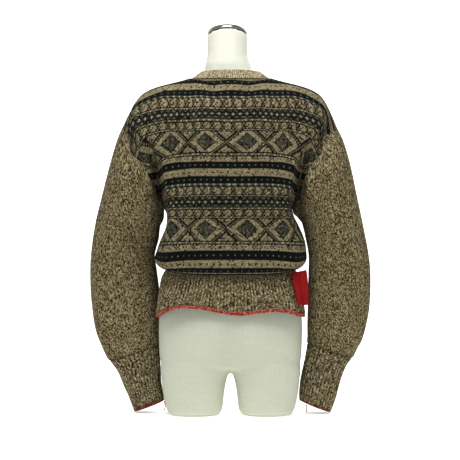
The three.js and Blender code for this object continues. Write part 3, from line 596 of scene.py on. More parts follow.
# The lower bands lie level, with one place for all four columns.
LEVEL_BANDS = [
    [name, rows] + [place] * 4
    for name, rows, place in (
        ("lattice", 7, 9.2),
        ("lines", 3, 9.6),
        ("steps", 4, 10.12),
        ("lines", 3, 10.4),
        ("diamonds", 15, 12.08),
        ("lines", 3, 12.4),
        ("checks", 4, 12.86),
        ("dark", 7, 13.7),
        ("tan", 6, 14.58),
        ("dark", 5, 15.5),
        # painted highlight along the blouson's lower edge
        ("light", 1, 15.72),
        ("dark", 2, 16.0),
    )
]

# How many stitch rows each band has, and the place down the panel that it reaches in the middle, at the
# neck column, at the fold and at the edge. The one called diamonds has the big motif instead of a chart.
# The first three are cut away by the neckline, so they hardly show in the middle.
BANDS = table(
    "name rows middle neck fold edge",
    ["tan", 5, 0.03, 0.5, 0.42, 0.4],
    ["lines", 3, 0.06, 0.8, 0.68, 0.66],
    ["checks", 4, 0.1, 1.12, 0.96, 0.95],
    ["dark", 5, 1.26, 2.0, 1.4, 1.36],
    ["tan", 5, 2.02, 2.34, 2.04, 1.9],
    ["dark", 5, 2.43, 2.6, 2.31, 2.36],
    ["dots", 3, 2.66, 2.75, 2.47, 2.6],
    ["steps", 4, 3.0, 3.05, 2.79, 2.96],
    ["lines", 3, 3.18, 3.19, 2.94, 3.14],
    ["lattice", 7, 3.51, 3.51, 3.35, 3.6],
    ["lines", 3, 3.71, 3.71, 3.5, 3.76],
    ["steps", 4, 3.97, 3.97, 3.74, 4.02],
    ["lines", 3, 4.08, 4.08, 3.88, 4.16],
    ["diamonds", 15, 4.97, 4.97, 4.92, 5.2],
    ["lines", 3, 5.21, 5.21, 5.12, 5.4],
    ["checks", 4, 5.48, 5.48, 5.36, 5.64],
    ["dark", 5, 5.9, 5.9, 5.86, 6.1],
    ["tan", 5, 6.4, 6.4, 6.34, 6.6],
    ["dark", 5, 6.94, 6.94, 6.9, 7.25],
    ["dots", 3, 7.31, 7.31, 7.28, 7.55],
    ["steps", 4, 7.7, 7.7, 7.68, 7.9],
    ["lines", 3, 7.93, 7.93, 7.92, 8.1],
    *LEVEL_BANDS,
)
DIAMOND_REPEAT = 24
DIAMOND_HALF = 6.2  # half the width of a diamond, in stitches
DIAMOND_MIDDLE = 14  # the stitch in the middle of the diamond left of the centre line
DIAMOND_FILL, DIAMOND_LINE = -1.0, 0.6  # how far past a diamond's side its filling and its outline reach
ARM_SLOPE = 0.97  # stitches across for each row of a cross's arm
ARM_CORE, ARM_HALF = 0.55, 1.95  # half the width of an arm's heather line and of the whole arm
# Stray stitches: the yarns they stand among, the shares of the draw that pick them, and their own yarn.
STRAYS = [("MGT", 0, 0.06, "B"), ("MGT", 0.96, 1, "L"), ("H", 0, 0.18, "K"), ("H", 0.8, 1, "G")]


def diamond_yarn(column, line, lines):
    """The yarn of a stitch in the band of big diamonds and crosses."""
    away = abs((column - DIAMOND_MIDDLE + DIAMOND_REPEAT // 2) % DIAMOND_REPEAT - DIAMOND_REPEAT // 2)
    level = abs(line - (lines - 1) / 2)
    beyond = away - (DIAMOND_HALF - level)
    past_arm = (DIAMOND_REPEAT / 2 - away) - ARM_SLOPE * level
    if beyond <= DIAMOND_FILL:
        return "H"
    if beyond > DIAMOND_LINE and abs(past_arm) < ARM_CORE:
        return "M"
    if beyond <= DIAMOND_LINE or abs(past_arm) < ARM_HALF:
        return "K"
    return ("TTTTTM" if past_arm > 0 else "TTMTTB")[(column + 2 * line) % 6]


def band_yarns(first, last):
    """The yarn of every stitch, one line for each row of the panel, between two columns."""
    lines = []
    for name, count in zip(BANDS["name"], BANDS["rows"]):
        for line in range(count):
            if name == "diamonds":
                row = [diamond_yarn(column, line, count) for column in range(first, last)]
            else:
                repeat = CHARTS[name][round(line * (len(CHARTS[name]) - 1) / max(count - 1, 1))]
                row = [repeat[column % len(repeat)] for column in range(first, last)]
            lines.append(row)
    return np.array(lines)


def band_places(column):
    """The place of each boundary between stitch rows, in one column of the bands' table."""
    rows = np.cumsum([0, *BANDS["rows"]]).astype(float)
    return np.interp(np.arange(rows[-1] + 1), rows, [0, *BANDS[column]])[:, None]


# ---------------- materials


class Look:
    """A node material, with short ways to add nodes to it."""

    def __init__(self, name, roughness, sheen=0.0, specular=0.3, metallic=0.0):
        self.made = bpy.data.materials.new(name)
        self.made.use_nodes = True
        self.tree = self.made.node_tree
        self.shader = next(node for node in self.tree.nodes if node.type == "BSDF_PRINCIPLED").inputs
        self.shader["Roughness"].default_value = roughness
        self.shader["Sheen Weight"].default_value = sheen
        self.shader["Sheen Roughness"].default_value = 0.6
        self.shader["Specular IOR Level"].default_value = specular
        self.shader["Metallic"].default_value = metallic
        self.where = self.add("TexCoord").outputs["Object"]

    def put(self, slot, value):
        """Links a socket into a slot, or sets a plain value."""
        if isinstance(value, bpy.types.NodeSocket):
            self.tree.links.new(value, slot)
        else:
            slot.default_value = value

    def add(self, kind, settings=None, **inputs):
        """Adds a node. An input is given by name, or by number after an underscore."""
        node = self.tree.nodes.new("ShaderNode" + kind)
        for key, value in (settings or {}).items():
            setattr(node, key, value)
        for key, value in inputs.items():
            self.put(node.inputs[int(key[1:]) if key[0] == "_" else key], value)
        return node

    def axes(self, value):
        """The three parts of a vector."""
        return self.add("SeparateXYZ", Vector=value).outputs

    def stitches(self):
        """The stitch places across and down the cloth."""
        return self.axes(self.add("UVMap", {"uv_map": "stitches"}).outputs["UV"])[:2]

    def noise(self, scale, detail=3.0, stretch=(1, 1, 1)):
        """A noise over the object's own coordinates, stretched if wanted."""
        where = self.where
        if stretch != (1, 1, 1):
            where = self.add("VectorMath", {"operation": "MULTIPLY"}, _0=where, _1=stretch).outputs["Vector"]
        return self.add("TexNoise", Vector=where, Scale=scale, Detail=detail, Roughness=0.6).outputs["Fac"]

    def spread(self, value, low, high, bottom=0.25, top=0.75):
        """A value from one range carried to another."""
        ends = {"From Min": bottom, "From Max": top, "To Min": low, "To Max": high}
        return self.add("MapRange", Value=value, **ends).outputs["Result"]

    def math(self, operation, first, second=0.0):
        return self.add("Math", {"operation": operation}, _0=first, _1=second).outputs[0]

    def times(self, first, *others):
        for other in others:
            first = self.math("MULTIPLY", first, other)
        return first

    def plain(self, red, green, blue):
        """A colour node, for a colour that is then shaded."""
        node = self.add("RGB")
        node.outputs[0].default_value = (*linear(red, green, blue), 1)
        return node.outputs[0]

    def yarn(self):
        """The colour of each stitch."""
        return self.add("VertexColor", {"layer_name": "yarn"}).outputs["Color"]

    def paint(self, colour, *shades):
        """Gives the shader a colour made brighter or darker by all the shades."""
        shade = self.times(*shades)
        grey = self.add("CombineColor", Red=shade, Green=shade, Blue=shade).outputs[0]
        blend = {"data_type": "RGBA", "blend_type": "MULTIPLY"}
        painted = self.add("Mix", blend, Factor=1.0, A=colour, B=grey).outputs["Result"]
        self.put(self.shader["Base Color"], painted)
        return painted

    def bump(self, *layers):
        """Chains bump nodes. Each layer is a height, its strength and its depth in metres."""
        normal = None
        for height, strength, depth in layers:
            node = self.add("Bump", Height=height, Strength=strength, Distance=depth)
            if normal is not None:
                self.put(node.inputs["Normal"], normal)
            normal = node.outputs["Normal"]
        self.put(self.shader["Normal"], normal)
        return self.made


def knit_look(name, row_relief, fuzz):
    """Knitted wool: the colour of each stitch, with heathered fibres, row relief and fuzz."""
    look = Look(name, 0.95, sheen=0.015, specular=0.04)
    fibres = look.noise(1400.0)
    heather = look.spread(look.noise(420.0), 0.6, 1.4)
    wear = look.spread(look.noise(14.0, detail=2.0), 0.94, 1.06)
    look.paint(look.yarn(), look.spread(fibres, 0.72, 1.28), heather, wear)
    column, row = look.stitches()
    turn = look.times(row, FULL_TURN)
    falling = look.times(look.math("COSINE", turn), -1.0)
    twist = look.math("ADD", look.times(column, FULL_TURN * 2), look.times(turn, 2.0))
    ply = look.math("SINE", twist)
    return look.bump((falling, row_relief, 0.0006), (ply, 0.25, 0.0003), (fibres, fuzz, 0.0006))


def thread_look():
    """Red overlock thread, with the twist of the thread and lint of the knit beneath."""
    look = Look("red overlock thread", 0.75, sheen=0.02, specular=0.1)
    fibres = look.noise(1800.0)
    look.paint(look.yarn(), look.spread(fibres, 0.7, 1.3), look.spread(look.noise(500.0), 0.8, 1.2))
    return look.bump((fibres, 0.6, 0.0005))


def linen_look():
    """Off-white linen: two crossing threads with slubs and streaks, and painted shade that darkens it towards
    the bottom.
    """
    look = Look("form linen", 0.9, sheen=0.05, specular=0.1)
    x, y, z = look.axes(look.where)
    weft = look.math("SINE", look.times(z, FULL_TURN * 900))
    sideways = look.math("ADD", x, look.times(y, 0.7))
    weave = look.math("ADD", weft, look.math("SINE", look.times(sideways, FULL_TURN * 800)))
    slub = look.noise(260.0, detail=4.0)
    shades = [look.spread(slub, 0.93, 1.05), look.spread(look.noise(9.0), 0.96, 1.03)]
    # Painted shade: the weave's low places are a little darker.
    shades.append(look.spread(weave, 0.97, 1.03, -2.0, 2.0))
    for stretch in ((620, 620, 14), (14, 14, 620)):
        shades.append(look.spread(look.noise(1.0, stretch=stretch), 0.955, 1.04))
    # Painted shade: the linen is darker towards the bottom of the form and lighter at the top.
    height = look.spread(z, 0.0, 1.0, 0.35, 0.75)
    low, high = (*linear(206, 210, 190), 1), (*linear(228, 229, 213), 1)
    cloth = look.add("Mix", {"data_type": "RGBA"}, Factor=height, A=low, B=high)
    look.paint(cloth.outputs["Result"], *shades)
    return look.bump((weave, 0.25, 0.0003), (slub, 0.3, 0.0005))


def metal_look():
    """Brushed and polished cap metal, a little uneven."""
    look = Look("cap metal", 0.16, metallic=1.0)
    marks = look.noise(90.0, detail=5.0)
    look.paint(look.plain(156, 156, 145), look.spread(marks, 0.93, 1.05))
    look.put(look.shader["Roughness"], look.spread(marks, 0.1, 0.22))
    return look.bump((marks, 0.1, 0.0004))


def horn_look():
    """Dark brown horn buttons with cloudy streaks."""
    look = Look("button horn", 0.35, specular=0.5)
    streak = look.noise(120.0, detail=5.0)
    ramp = look.add("ValToRGB", Fac=streak)
    stops = ((0.3, linear(38, 27, 18)), (0.72, linear(108, 84, 56)))
    for stop, (position, colour) in zip(ramp.color_ramp.elements, stops):
        stop.position, stop.color = position, (*colour, 1)
    look.put(look.shader["Base Color"], ramp.outputs["Color"])
    look.put(look.shader["Roughness"], look.spread(streak, 0.3, 0.45))
    return look.bump((streak, 0.15, 0.0003))


def tape_look():
    """Red ribbed tape: fine ribs across it, with painted shade between them and a soft gloss."""
    look = Look("red grosgrain tape", 0.6, specular=0.15)
    ribs = look.math("SINE", look.times(look.stitches()[1], FULL_TURN))
    fibres = look.noise(1500.0)
    # Painted shade: the troughs between the ribs are darker.
    shades = look.spread(ribs, 0.82, 1.1, -1.0, 1.0), look.spread(fibres, 0.85, 1.15)
    look.paint(look.plain(152, 7, 7), *shades)
    return look.bump((ribs, 0.7, 0.0005), (fibres, 0.3, 0.0003))


knit = knit_look("fair isle knit", 0.6, 0.5)
marl = knit_look("marl knit", 0.6, 0.6)
rib_wool = knit_look("rib wool", 0.5, 0.6)
overlock = thread_look()
linen = linen_look()
metal = metal_look()
horn = horn_look()
grosgrain = tape_look()


# ---------------- knitted cloth

PLY_SPREAD = 0.2  # how unevenly the plies of a marl are coloured

def marl_tints(rng, rows, columns, colours, weights):
    """A colour for each leg of each stitch of a marl: plies of several colours twisted together."""
    picks = rng.choice(len(colours), (rows, columns), p=weights)
    return np.array(colours)[picks] * rng.uniform(1 - PLY_SPREAD, 1 + PLY_SPREAD, (rows, columns, 1))


def across_columns(tints, repeats, rng=None, spread=0.0):
    """Widens stitch colours to mesh columns, each a little different if a spread is given."""
    wide = np.repeat(tints, repeats, axis=1)
    if rng is not None:
        half = max(repeats // 2, 1)
        legs = rng.uniform(1 - spread, 1 + spread, (wide.shape[0], -(-wide.shape[1] // half), 1))
        wide = wide * np.repeat(legs, half, axis=1)[:, : wide.shape[1]]
    return wide


def stitched(grid, ways, columns, fade):
    """Gives a grid the relief of the stitches, and runs each one a little into the row below."""
    quarters = columns % QUARTERS
    relief = (LEGS[quarters] * LEG_RISE - LEG_SINK) * fade
    lowered = grid.copy()
    lowered[1:-1] += DIPS[quarters][:, None] * (grid[2:] - grid[1:-1])
    return lowered + ways * relief[..., None]


def sampled(lines, lengths, wanted):
    """Points of each line at wanted lengths along it."""
    return np.array([points_at(*three) for three in zip(lines, lengths, wanted)])


def line_lengths(lines, zero):
    """Lengths along each line, counted from its point number zero."""
    lengths = np.array([lengths_along(line) for line in lines])
    return lengths - lengths[:, zero : zero + 1]


def panel_cloth(lines, lengths, low, high, turn, seed, creases, seam, seam_places, seam_columns):
    """A knitted body panel. lines are its row boundaries, each cut at the lengths low and high.

    The seam columns are sewn to the other panel where the seam places lie below the armhole.
    """
    rng = np.random.default_rng(seed)
    low, high = low[:, None], high[:, None]
    first, last = math.floor(low.min() / STITCH_WIDE), math.ceil(high.max() / STITCH_WIDE)
    columns = np.arange(first * QUARTERS, last * QUARTERS + 1)
    across_cloth = columns * (STITCH_WIDE / QUARTERS)

    def laid(kept, wanted):
        grid = sampled(lines[kept], lengths[kept], wanted) + [0, seam, 0]
        ways = square(outwards(grid, turn), 0, [slice(None)])
        return grid, square(ways, np.flatnonzero(seam_places[kept] >= UNDERARM), seam_columns)

    grid, ways = laid(slice(None), np.clip(across_cloth, low, high))
    start = np.searchsorted(across_cloth, low + 1e-6, side="right") - 1
    end = np.searchsorted(across_cloth, high - 1e-6, side="left")
    numbers = np.clip(np.arange(len(columns)), start, end)
    ways = np.take_along_axis(ways, numbers[..., None], axis=1)
    from_edge = np.minimum(numbers - start, end - numbers)
    shaped = creased(grid, ways, creases, ease(from_edge, 0, SEAM_FADE))
    outer = stitched(shaped, ways, columns, np.clip(from_edge / EDGE_FADE, 0, 1))
    tints = tinted_bands(rng, first, last)
    kept = np.unique(np.append(np.arange(0, len(lines), INNER_ROWS), len(lines) - 1))
    inner, ways = laid(kept, low[kept] + (high - low)[kept] * np.linspace(0, 1, INNER_COLUMNS))
    number = np.arange(INNER_COLUMNS)
    inner = creased(inner, ways, creases, ease(np.minimum(number, number[::-1]), 0, 2)) - ways * KNIT
    places = spots(np.arange(len(lines)), columns / QUARTERS)
    return walled(outer, inner, tints, tints.mean(axis=(0, 1)), places, numbers=numbers, inner_rows=kept)


# ---------------- body panels

STITCH_SPREAD, LEG_SPREAD = 0.26, 0.16  # how unevenly the stitches and their legs are worn
# The shares across over which the place of a band goes from one column of its table to the next.
COLUMN_SHARES = [(0, 0.19), (0.32, 0.54), (0.64, 0.84)]
GATHER = 18.0  # how much longer each half of a row would be flat
GATHER_START, GATHER_END = 42, 150  # lengths between which it is gathered
PLEAT_BEHIND = 40.0  # the folds reach their full depth this far behind the side seams
ROLL = 14.0  # how far in the blouson's lower edge is drawn
ROLL_BELOW, ROLL_ABOVE, ROLL_BEHIND = (262, 318), (328, 345), (30, 90)  # where that begins and fades
# Deep folds that run down the back beside the armholes, between the flat of the back and the sleeve.
# Each point has its x, z, width and depth.
PLEATS = [
    [(196, 640, 8, 3), (183, 606, 9, 18), (172, 582, 10, 38), (168, 547, 11, 48)]
    + [(164, 512, 10, 46), (158, 477, 8, 24), (152, 455, 7, 5)],
    [(-192, 634, 8, 2), (-176, 606, 9, 14), (-163, 576, 10, 36), (-157, 543, 11, 48)]
    + [(-154, 508, 10, 46), (-152, 477, 8, 24), (-150, 455, 7, 5)],
]


def tinted_bands(rng, first, last):
    """Colours of the stitches of a body panel: the chart's yarns, heathered and unevenly worn."""
    chart = band_yarns(first, last)
    yarns = np.array([[YARN[name] for name in line] for line in chart])
    stray = rng.random(chart.shape)
    for among, low, high, yarn in STRAYS:
        picked = np.isin(chart, list(among)) & (stray > low) & (stray < high)
        yarns = np.where(picked[..., None], YARN[yarn], yarns)
    stitches = rng.uniform(1 - STITCH_SPREAD, 1 + STITCH_SPREAD, chart.shape + (1,))
    return across_columns(yarns * stitches, QUARTERS, rng, LEG_SPREAD)


def body_places(shares):
    """The place of every row boundary at every share across."""
    columns = [band_places(name) for name in ("middle", "neck", "fold", "edge")]
    places = columns[0]
    for one, other, ends in zip(columns, columns[1:], COLUMN_SHARES):
        places = places + (other - one) * ease(np.abs(shares), *ends)
    return places


def pleated(grid, offset):
    """Presses the deep folds at the armholes into a grid that lies at an offset, straight forwards."""
    found = np.zeros(grid.shape[:2])
    for fold in PLEATS:
        for start, end in zip(fold, fold[1:]):
            start, step = np.array(start), np.subtract(end, start)
            apart = grid[..., ::2] - offset[::2] - start[:2]
            share = np.clip(apart @ step[:2] / (step[:2] @ step[:2]), 0, 1)[..., None]
            away = np.linalg.norm(apart - share * step[:2], axis=-1)
            width, depth = np.moveaxis(start[2:] + share * step[2:], -1, 0)
            found = np.maximum(found, depth * np.exp(-((away / width) ** 2)))
    return rolled_under(grid - point(0, found * ease(grid[..., 1], 0, PLEAT_BEHIND), 0))


def rolled_under(grid):
    """Draws the blouson's lower edge and the top of the hem rib in under the blouson."""
    level = grid[..., 2]
    drawn = ease(level, *ROLL_BELOW) * (1 - ease(level, *ROLL_ABOVE)) * ease(grid[..., 1], *ROLL_BEHIND)
    return grid - point(0, ROLL * drawn, 0)


def v_neck(place):
    """Half the opening of the neck at a place down the front."""
    last = last_of(V_NECK)
    return np.where(place >= last, BAND_HALF, between(V_NECK["x"], np.minimum(place, last)))


def gathered(lengths):
    """The lengths a row would have flat: its stitches sit closer together towards the sides."""
    return lengths + np.sign(lengths) * GATHER * ease(np.abs(lengths), GATHER_START, GATHER_END)


def back_panel():
    shares = np.linspace(-1, 1, 481)
    places = body_places(shares)
    lines = pleated(across(row_at(BACK, places), shares), (0, 0, 0))
    lengths = gathered(line_lengths(lines, len(shares) // 2))
    low, high = lengths[:, 0], lengths[:, -1]
    return panel_cloth(lines, lengths, low, high, 1, 11, BACK_CREASES, SEAM / 2, places[:, 0], [0, -1])


def front_panel(side):
    shares = side * np.linspace(0, 1, 301)
    places = body_places(shares)
    lines = across(row_at(FRONT, places), shares)
    lengths = line_lengths(lines, 0)
    opening = v_neck(places[:, 0])
    low = np.array([np.interp(x, side * line[:, 0], u) for x, line, u in zip(opening, lines, lengths)])
    high, seams = lengths[:, -1], (-SEAM / 2, places[:, -1], [-1])
    seed = 12 if side > 0 else 13
    return panel_cloth(lines, lengths, low, high, -side, seed, FRONT_CREASES[side], *seams)


# ---------------- creases, laid one by one

# Each one runs from point to point with a width and a rise. A trough has a rise below 0.
BACK_CREASES = [
    (150, 106, 596, 144, 106, 486, 8, 3.5),
    (-143, 106, 590, -142, 104, 486, 8, 3.5),
    (206, 66, 650, 176, 92, 612, 8, -4.0),
    (-196, 74, 650, -170, 94, 612, 8, -3.5),
    (150, 96, 660, 128, 112, 610, 12, -3.0),
    (-146, 98, 656, -126, 112, 612, 12, -2.6),
    (120, 118, 470, 20, 121, 448, 12, -2.4),
    (-130, 110, 452, -40, 120, 464, 12, -2.2),
    (60, 124, 396, 140, 112, 408, 12, 2.2),
    (-70, 124, 390, -140, 112, 400, 12, 2.0),
]
FRONT_CREASES = {
    1: [
        (176, -90, 610, 158, -97, 520, 9, -3.5),
        (140, -108, 452, 50, -124, 440, 12, -1.6),
        (60, -130, 390, 140, -112, 400, 12, 1.5),
    ],
    -1: [
        (-170, -92, 612, -156, -97, 525, 9, -3.5),
        (-132, -108, 446, -60, -122, 458, 12, -1.5),
        (-80, -128, 384, -142, -110, 396, 11, 1.5),
    ],
}
SLEEVE_CREASES = {
    1: [
        (222, 82, 590, 186, 66, 500, 15, 9.0),
        (244, 70, 610, 246, 62, 380, 11, 8.0),
        (222, 72, 560, 222, 62, 350, 10, -7.0),
        (160, 14, 498, 164, 0, 446, 14, 5.5),
        (196, 62, 480, 204, 20, 300, 10, -4.0),
        (288, 40, 570, 310, 10, 380, 14, -3.5),
        (276, 56, 420, 268, 40, 240, 13, 3.0),
        (250, -60, 590, 262, -96, 340, 10, 4.0),
        (226, -64, 560, 232, -98, 380, 9, -4.0),
        (292, -20, 215, 256, -80, 168, 9, -4.0),
        (204, 22, 218, 268, 4, 160, 9, -3.8),
        (306, -30, 262, 280, 14, 176, 10, 3.2),
    ],
    -1: [
        (-218, 82, 590, -180, 68, 500, 15, 9.0),
        (-240, 72, 600, -244, 62, 380, 11, 7.0),
        (-212, 70, 540, -208, 60, 400, 10, -7.0),
        (-154, 14, 500, -159, 0, 450, 14, 6.0),
        (-188, 58, 500, -200, 50, 330, 10, -3.5),
        (-280, 44, 570, -306, 20, 380, 14, -3.2),
        (-268, 56, 410, -262, 44, 250, 13, 2.8),
        (-240, -62, 590, -252, -74, 350, 10, 4.0),
        (-214, -64, 560, -222, -74, 390, 9, -4.0),
        (-290, -26, 236, -244, -62, 176, 9, -4.0),
        (-204, 40, 236, -268, 42, 170, 9, -3.6),
        (-304, 10, 272, -284, 36, 188, 10, 3.2),
    ],
}
HEM_CREASES = [
    (-60, 116, 320, -66, 122, 262, 9, -1.2),
    (34, 116, 322, 40, 122, 270, 10, 1.2),
    (96, 112, 318, 104, 118, 268, 8, -1.0),
    (-118, 104, 318, -126, 110, 268, 9, 1.0),
    (70, -116, 318, 74, -116, 270, 9, -1.1),
    (-80, -114, 318, -86, -114, 272, 9, -1.0),
]

# ---------------- sleeves

INNER_AROUND = 48  # columns round a plain inner side
INNER_STEP = 6  # stitch rows in one line of a sleeve's inner side
SLEEVE_FADE = 3  # rows over which the relief fades towards a sleeve's ends
MARL = [linear(48, 39, 23), linear(126, 114, 82), linear(168, 157, 123), linear(94, 82, 54)]
MARL_SHARES = [0.26, 0.36, 0.18, 0.2]
INNER_SHADE = 0.8  # the inner side of a sleeve against its darker yarn
# Painted shade at the cuff's seam: the sleeve's last two rows are darkened.
SEAM_PAINTED_SHADE = 0.6  # its last two rows, drawn together at the cuff's seam


def armhole_gap(side):
    """How far the sleeve's edge lies from the edges of the panels."""
    return np.array([side * 0.35, 0, -0.2])


def armhole_ring(side, share):
    """The sleeve's first ring along the armhole: share 0 is the shoulder tip, and the back comes first."""
    fine = np.linspace(0, UNDERARM, 160)
    behind, before = (across(row_at(rows, fine), np.full(fine.shape, float(side))) for rows in (BACK, FRONT))
    ring = np.concatenate([behind, before[-2::-1]]) + armhole_gap(side)
    lengths = lengths_along(ring)
    return points_at(ring, lengths, np.mod(share, 1) * lengths[-1])


def sleeve_knots(rows, cuff_rows, side, columns):
    """The rings of a sleeve: the armhole, each row of its table, and its end drawn in to the cuff's top."""
    rings = [armhole_ring(side, np.arange(columns) / columns)]
    rings += [on_ring(row_at(rows, place), turns(columns), side) for place in range(last_of(rows) + 1)]
    rings.append(on_ring(row_at(cuff_rows, 0), turns(columns), side) + [0, 0, SEAM])
    return np.array(rings)


def sleeve(rows, cuff_rows, side, seed):
    rng = np.random.default_rng(seed)
    columns = SLEEVE_STITCHES * QUARTERS
    knots = sleeve_knots(rows, cuff_rows, side, columns)
    centre_line = lambda place: between(knots, place).mean(axis=1)
    places = even_places(centre_line, 0, len(knots) - 1, SLEEVE_ROWS)

    def laid(knots, places):
        plain = pleated(between(knots, places), armhole_gap(side))
        ways = outwards(plain, -side, closed=True)
        return creased(plain, ways, SLEEVE_CREASES[side], ease(places, 0, CREASE_START)[:, None]), ways

    shaped, ways = laid(knots, places)
    row = np.arange(SLEEVE_ROWS + 1)
    fade = np.clip(np.minimum(row, row[::-1]) / SLEEVE_FADE, 0, 1)[:, None]
    outer = stitched(shaped, ways, np.arange(columns), fade)
    tints = marl_tints(rng, SLEEVE_ROWS, 2 * SLEEVE_STITCHES, MARL, MARL_SHARES)
    tints = across_columns(tints, QUARTERS // 2)
    # painted shade on the last two rows, at the cuff's seam
    tints[-2:] *= SEAM_PAINTED_SHADE
    inner, ways = laid(sleeve_knots(rows, cuff_rows, side, INNER_AROUND), places[::INNER_STEP])
    stitches = spots(row, np.arange(columns + 1) / QUARTERS)
    return walled(outer, inner - ways * KNIT, tints, MARL[3] * INNER_SHADE, stitches, closed=True)


# ---------------- ribs

RIB_MARL = [linear(58, 48, 28), linear(134, 122, 90), linear(180, 169, 134), linear(102, 90, 62)]
RIB_SHARES = [0.2, 0.4, 0.22, 0.18]
RIB_INNER_SHADE = 0.7
# A lighter copy of the rib marl, as painted light, for the neck band and the front bands.
COLLAR_PAINTED_LIGHT_MARL = [linear(122, 106, 74), linear(190, 176, 140), linear(214, 204, 174), linear(164, 148, 112)]
CREST = 0.5 - 0.5 * np.cos(turns(RIB_COLUMNS))
# The grooves between ribs are darker, partly for the purl yarn lying there and partly as painted shade.
GROOVE_PURL_AND_PAINTED_SHADE = 0.4 + 0.6 * ((CREST + np.roll(CREST, -1)) / 2)


def rib_cloth(laid, ribs, colours, seed, steps, inner_steps, shade=1.0, closed=False, turned=False):
    """Marled ribs, darker in the grooves between them, partly for the purl yarn there and partly as painted
    shade. They run down a grid, or across it if turned.

    laid gives a grid and its outward directions for a number of steps along the ribs and across them.
    """
    rng = np.random.default_rng(seed)
    columns = ribs * RIB_COLUMNS
    fine, ways = laid(steps, columns)
    plain, plain_ways = laid(inner_steps, ribs)
    rise = CREST[np.arange(columns + (not closed)) % RIB_COLUMNS, None] * RIB_RISE
    tints = across_columns(marl_tints(rng, steps, 3 * ribs, colours, RIB_SHARES), RIB_COLUMNS // 3)
    tints = tints * np.tile(GROOVE_PURL_AND_PAINTED_SHADE, ribs)[:, None] * shade
    places = spots(np.arange(steps + 1), np.arange(columns + 1) / RIB_COLUMNS)
    if turned:
        rise, tints, places = rise[:, None], np.swapaxes(tints, 0, 1), np.swapaxes(places, 0, 1)
    inner = plain - plain_ways * KNIT
    return walled(fine + ways * rise, inner, tints, colours[3] * RIB_INNER_SHADE, places, closed)


def ring_laid(rows, side, start, end):
    """A function that lays a grid between two places of a ring table."""

    def laid(steps, columns):
        grid = on_ring(rows_down(rows, steps, start, end), turns(columns), side)
        return grid, outwards(grid, -side, closed=True)

    return laid


def edge_place(rows, height):
    """The place of a ring table at a height above its mouth."""
    return last_of(rows) - height / (rows["outerZ"][-2] - rows["outerZ"][-1])


def cuff(rows, side, seed):
    laid = ring_laid(rows, side, 0, edge_place(rows, CUFF_EDGE_HEIGHT + SEAM))
    return rib_cloth(laid, CUFF_RIBS, RIB_MARL, seed, steps=38, inner_steps=12, shade=0.92, closed=True)


def rib_line(rows, hemline, place, raised, shares):
    """Points of the hem rib at a place down it, bent to the hemline at its end."""
    line = across(row_at(rows, place), shares)
    bend = max(place - (last_of(rows) - 1), 0)
    line[:, 2] += bend * (height_at(hemline, line[:, 0]) + raised - rows["midZ"][-1])
    return rolled_under(line)


def hem_panel(rows, hemline, start, end, ribs, seam, turn, seams, seed):
    """A panel of the hem rib between two shares across, sewn to the other panel at the columns seams."""
    raised = HEM_EDGE_HEIGHT + 2 * SEAM
    shares = np.linspace(start, end, 300)

    def laid(steps, columns):
        places = np.linspace(0, last_of(rows), steps + 1)
        lines = [even_line(rib_line(rows, hemline, place, raised, shares), columns) for place in places]
        grid = np.array(lines) + [0, seam, 0]
        ways = square(outwards(grid, turn), slice(None), seams)
        return creased(grid, ways, HEM_CREASES), ways

    return rib_cloth(laid, ribs, RIB_MARL, seed, steps=30, inner_steps=8)


# ---------------- neck band and front bands

NECK_REACH = 0.3  # the share across the back where the neck band ends
NECK_CLEAR = 1.5
BAND_STAND_END = 3.5  # the row at which the front bands no longer stand up
FOOT_DROP = 4.0  # how far the foot of a front band reaches below the rib's last row


def stand(share):
    """The step from the neckline to the band's top edge, at shares across the back's first row."""
    from_shoulder = 1 - np.minimum(np.abs(share) * 3, 1)
    row = row_at(STAND, from_shoulder * last_of(STAND))
    return point(np.sign(share) * row["inX"], row["backY"], row["upZ"])


def neck_band(seed):
    first = row_at(BACK, 0)

    def laid(steps, columns):
        shares = even_places(lambda share: across(first, share), -NECK_REACH, NECK_REACH, columns)
        base = across(first, shares) + [0, 0, NECK_CLEAR]
        grid = base + stand(shares) * np.linspace(1, 0, steps + 1)[:, None, None]
        return grid, outwards(grid, 1)

    return rib_cloth(laid, NECK_RIBS, COLLAR_PAINTED_LIGHT_MARL, seed, steps=8, inner_steps=3)


def share_of(row, x, side):
    """The share across a front row where it has the given distance from the centre line."""
    shares = np.linspace(0, 1, 400)
    return side * np.interp(x, side * across(row, side * shares)[:, 0], shares)


def band_edges(place, side):
    """The outer and the inner edge of a front band at a place down the front and on down its hem rib."""
    seam = last_of(FRONT)
    row = row_at(FRONT, place) if place <= seam else row_at(RIB_FRONT, min(place - seam, last_of(RIB_FRONT)))
    opening = float(v_neck(np.array(place)))
    edge = across(row, share_of(row, opening - 3 * SEAM, side))
    far = opening - BAND_WIDTH
    inner = across(row, share_of(row, abs(far), -side if far < 0 else side))
    shoulder = 1 - ease(place, 0, BAND_STAND_END)
    raised = edge + [side * STAND["inX"][0], STAND["backY"][0], STAND["upZ"][0]]
    return edge, inner + (raised - inner) * shoulder


def band_line(place, side, end):
    """The two edges of a front band, the upper one lifted clear of the lower."""
    edge, inner = band_edges(place, side)
    raised = 0.0
    if side < 0:
        raised = BAND_LIFT * ease(place, LIFT_START, LIFT_END)
        if LIFT_END <= place < last_of(FRONT):
            edge = edge - (inner - edge) * BAND_LAP / BAND_WIDTH
    return np.array([edge, inner]) - [0, raised, max(place - end + 1, 0) * FOOT_DROP]


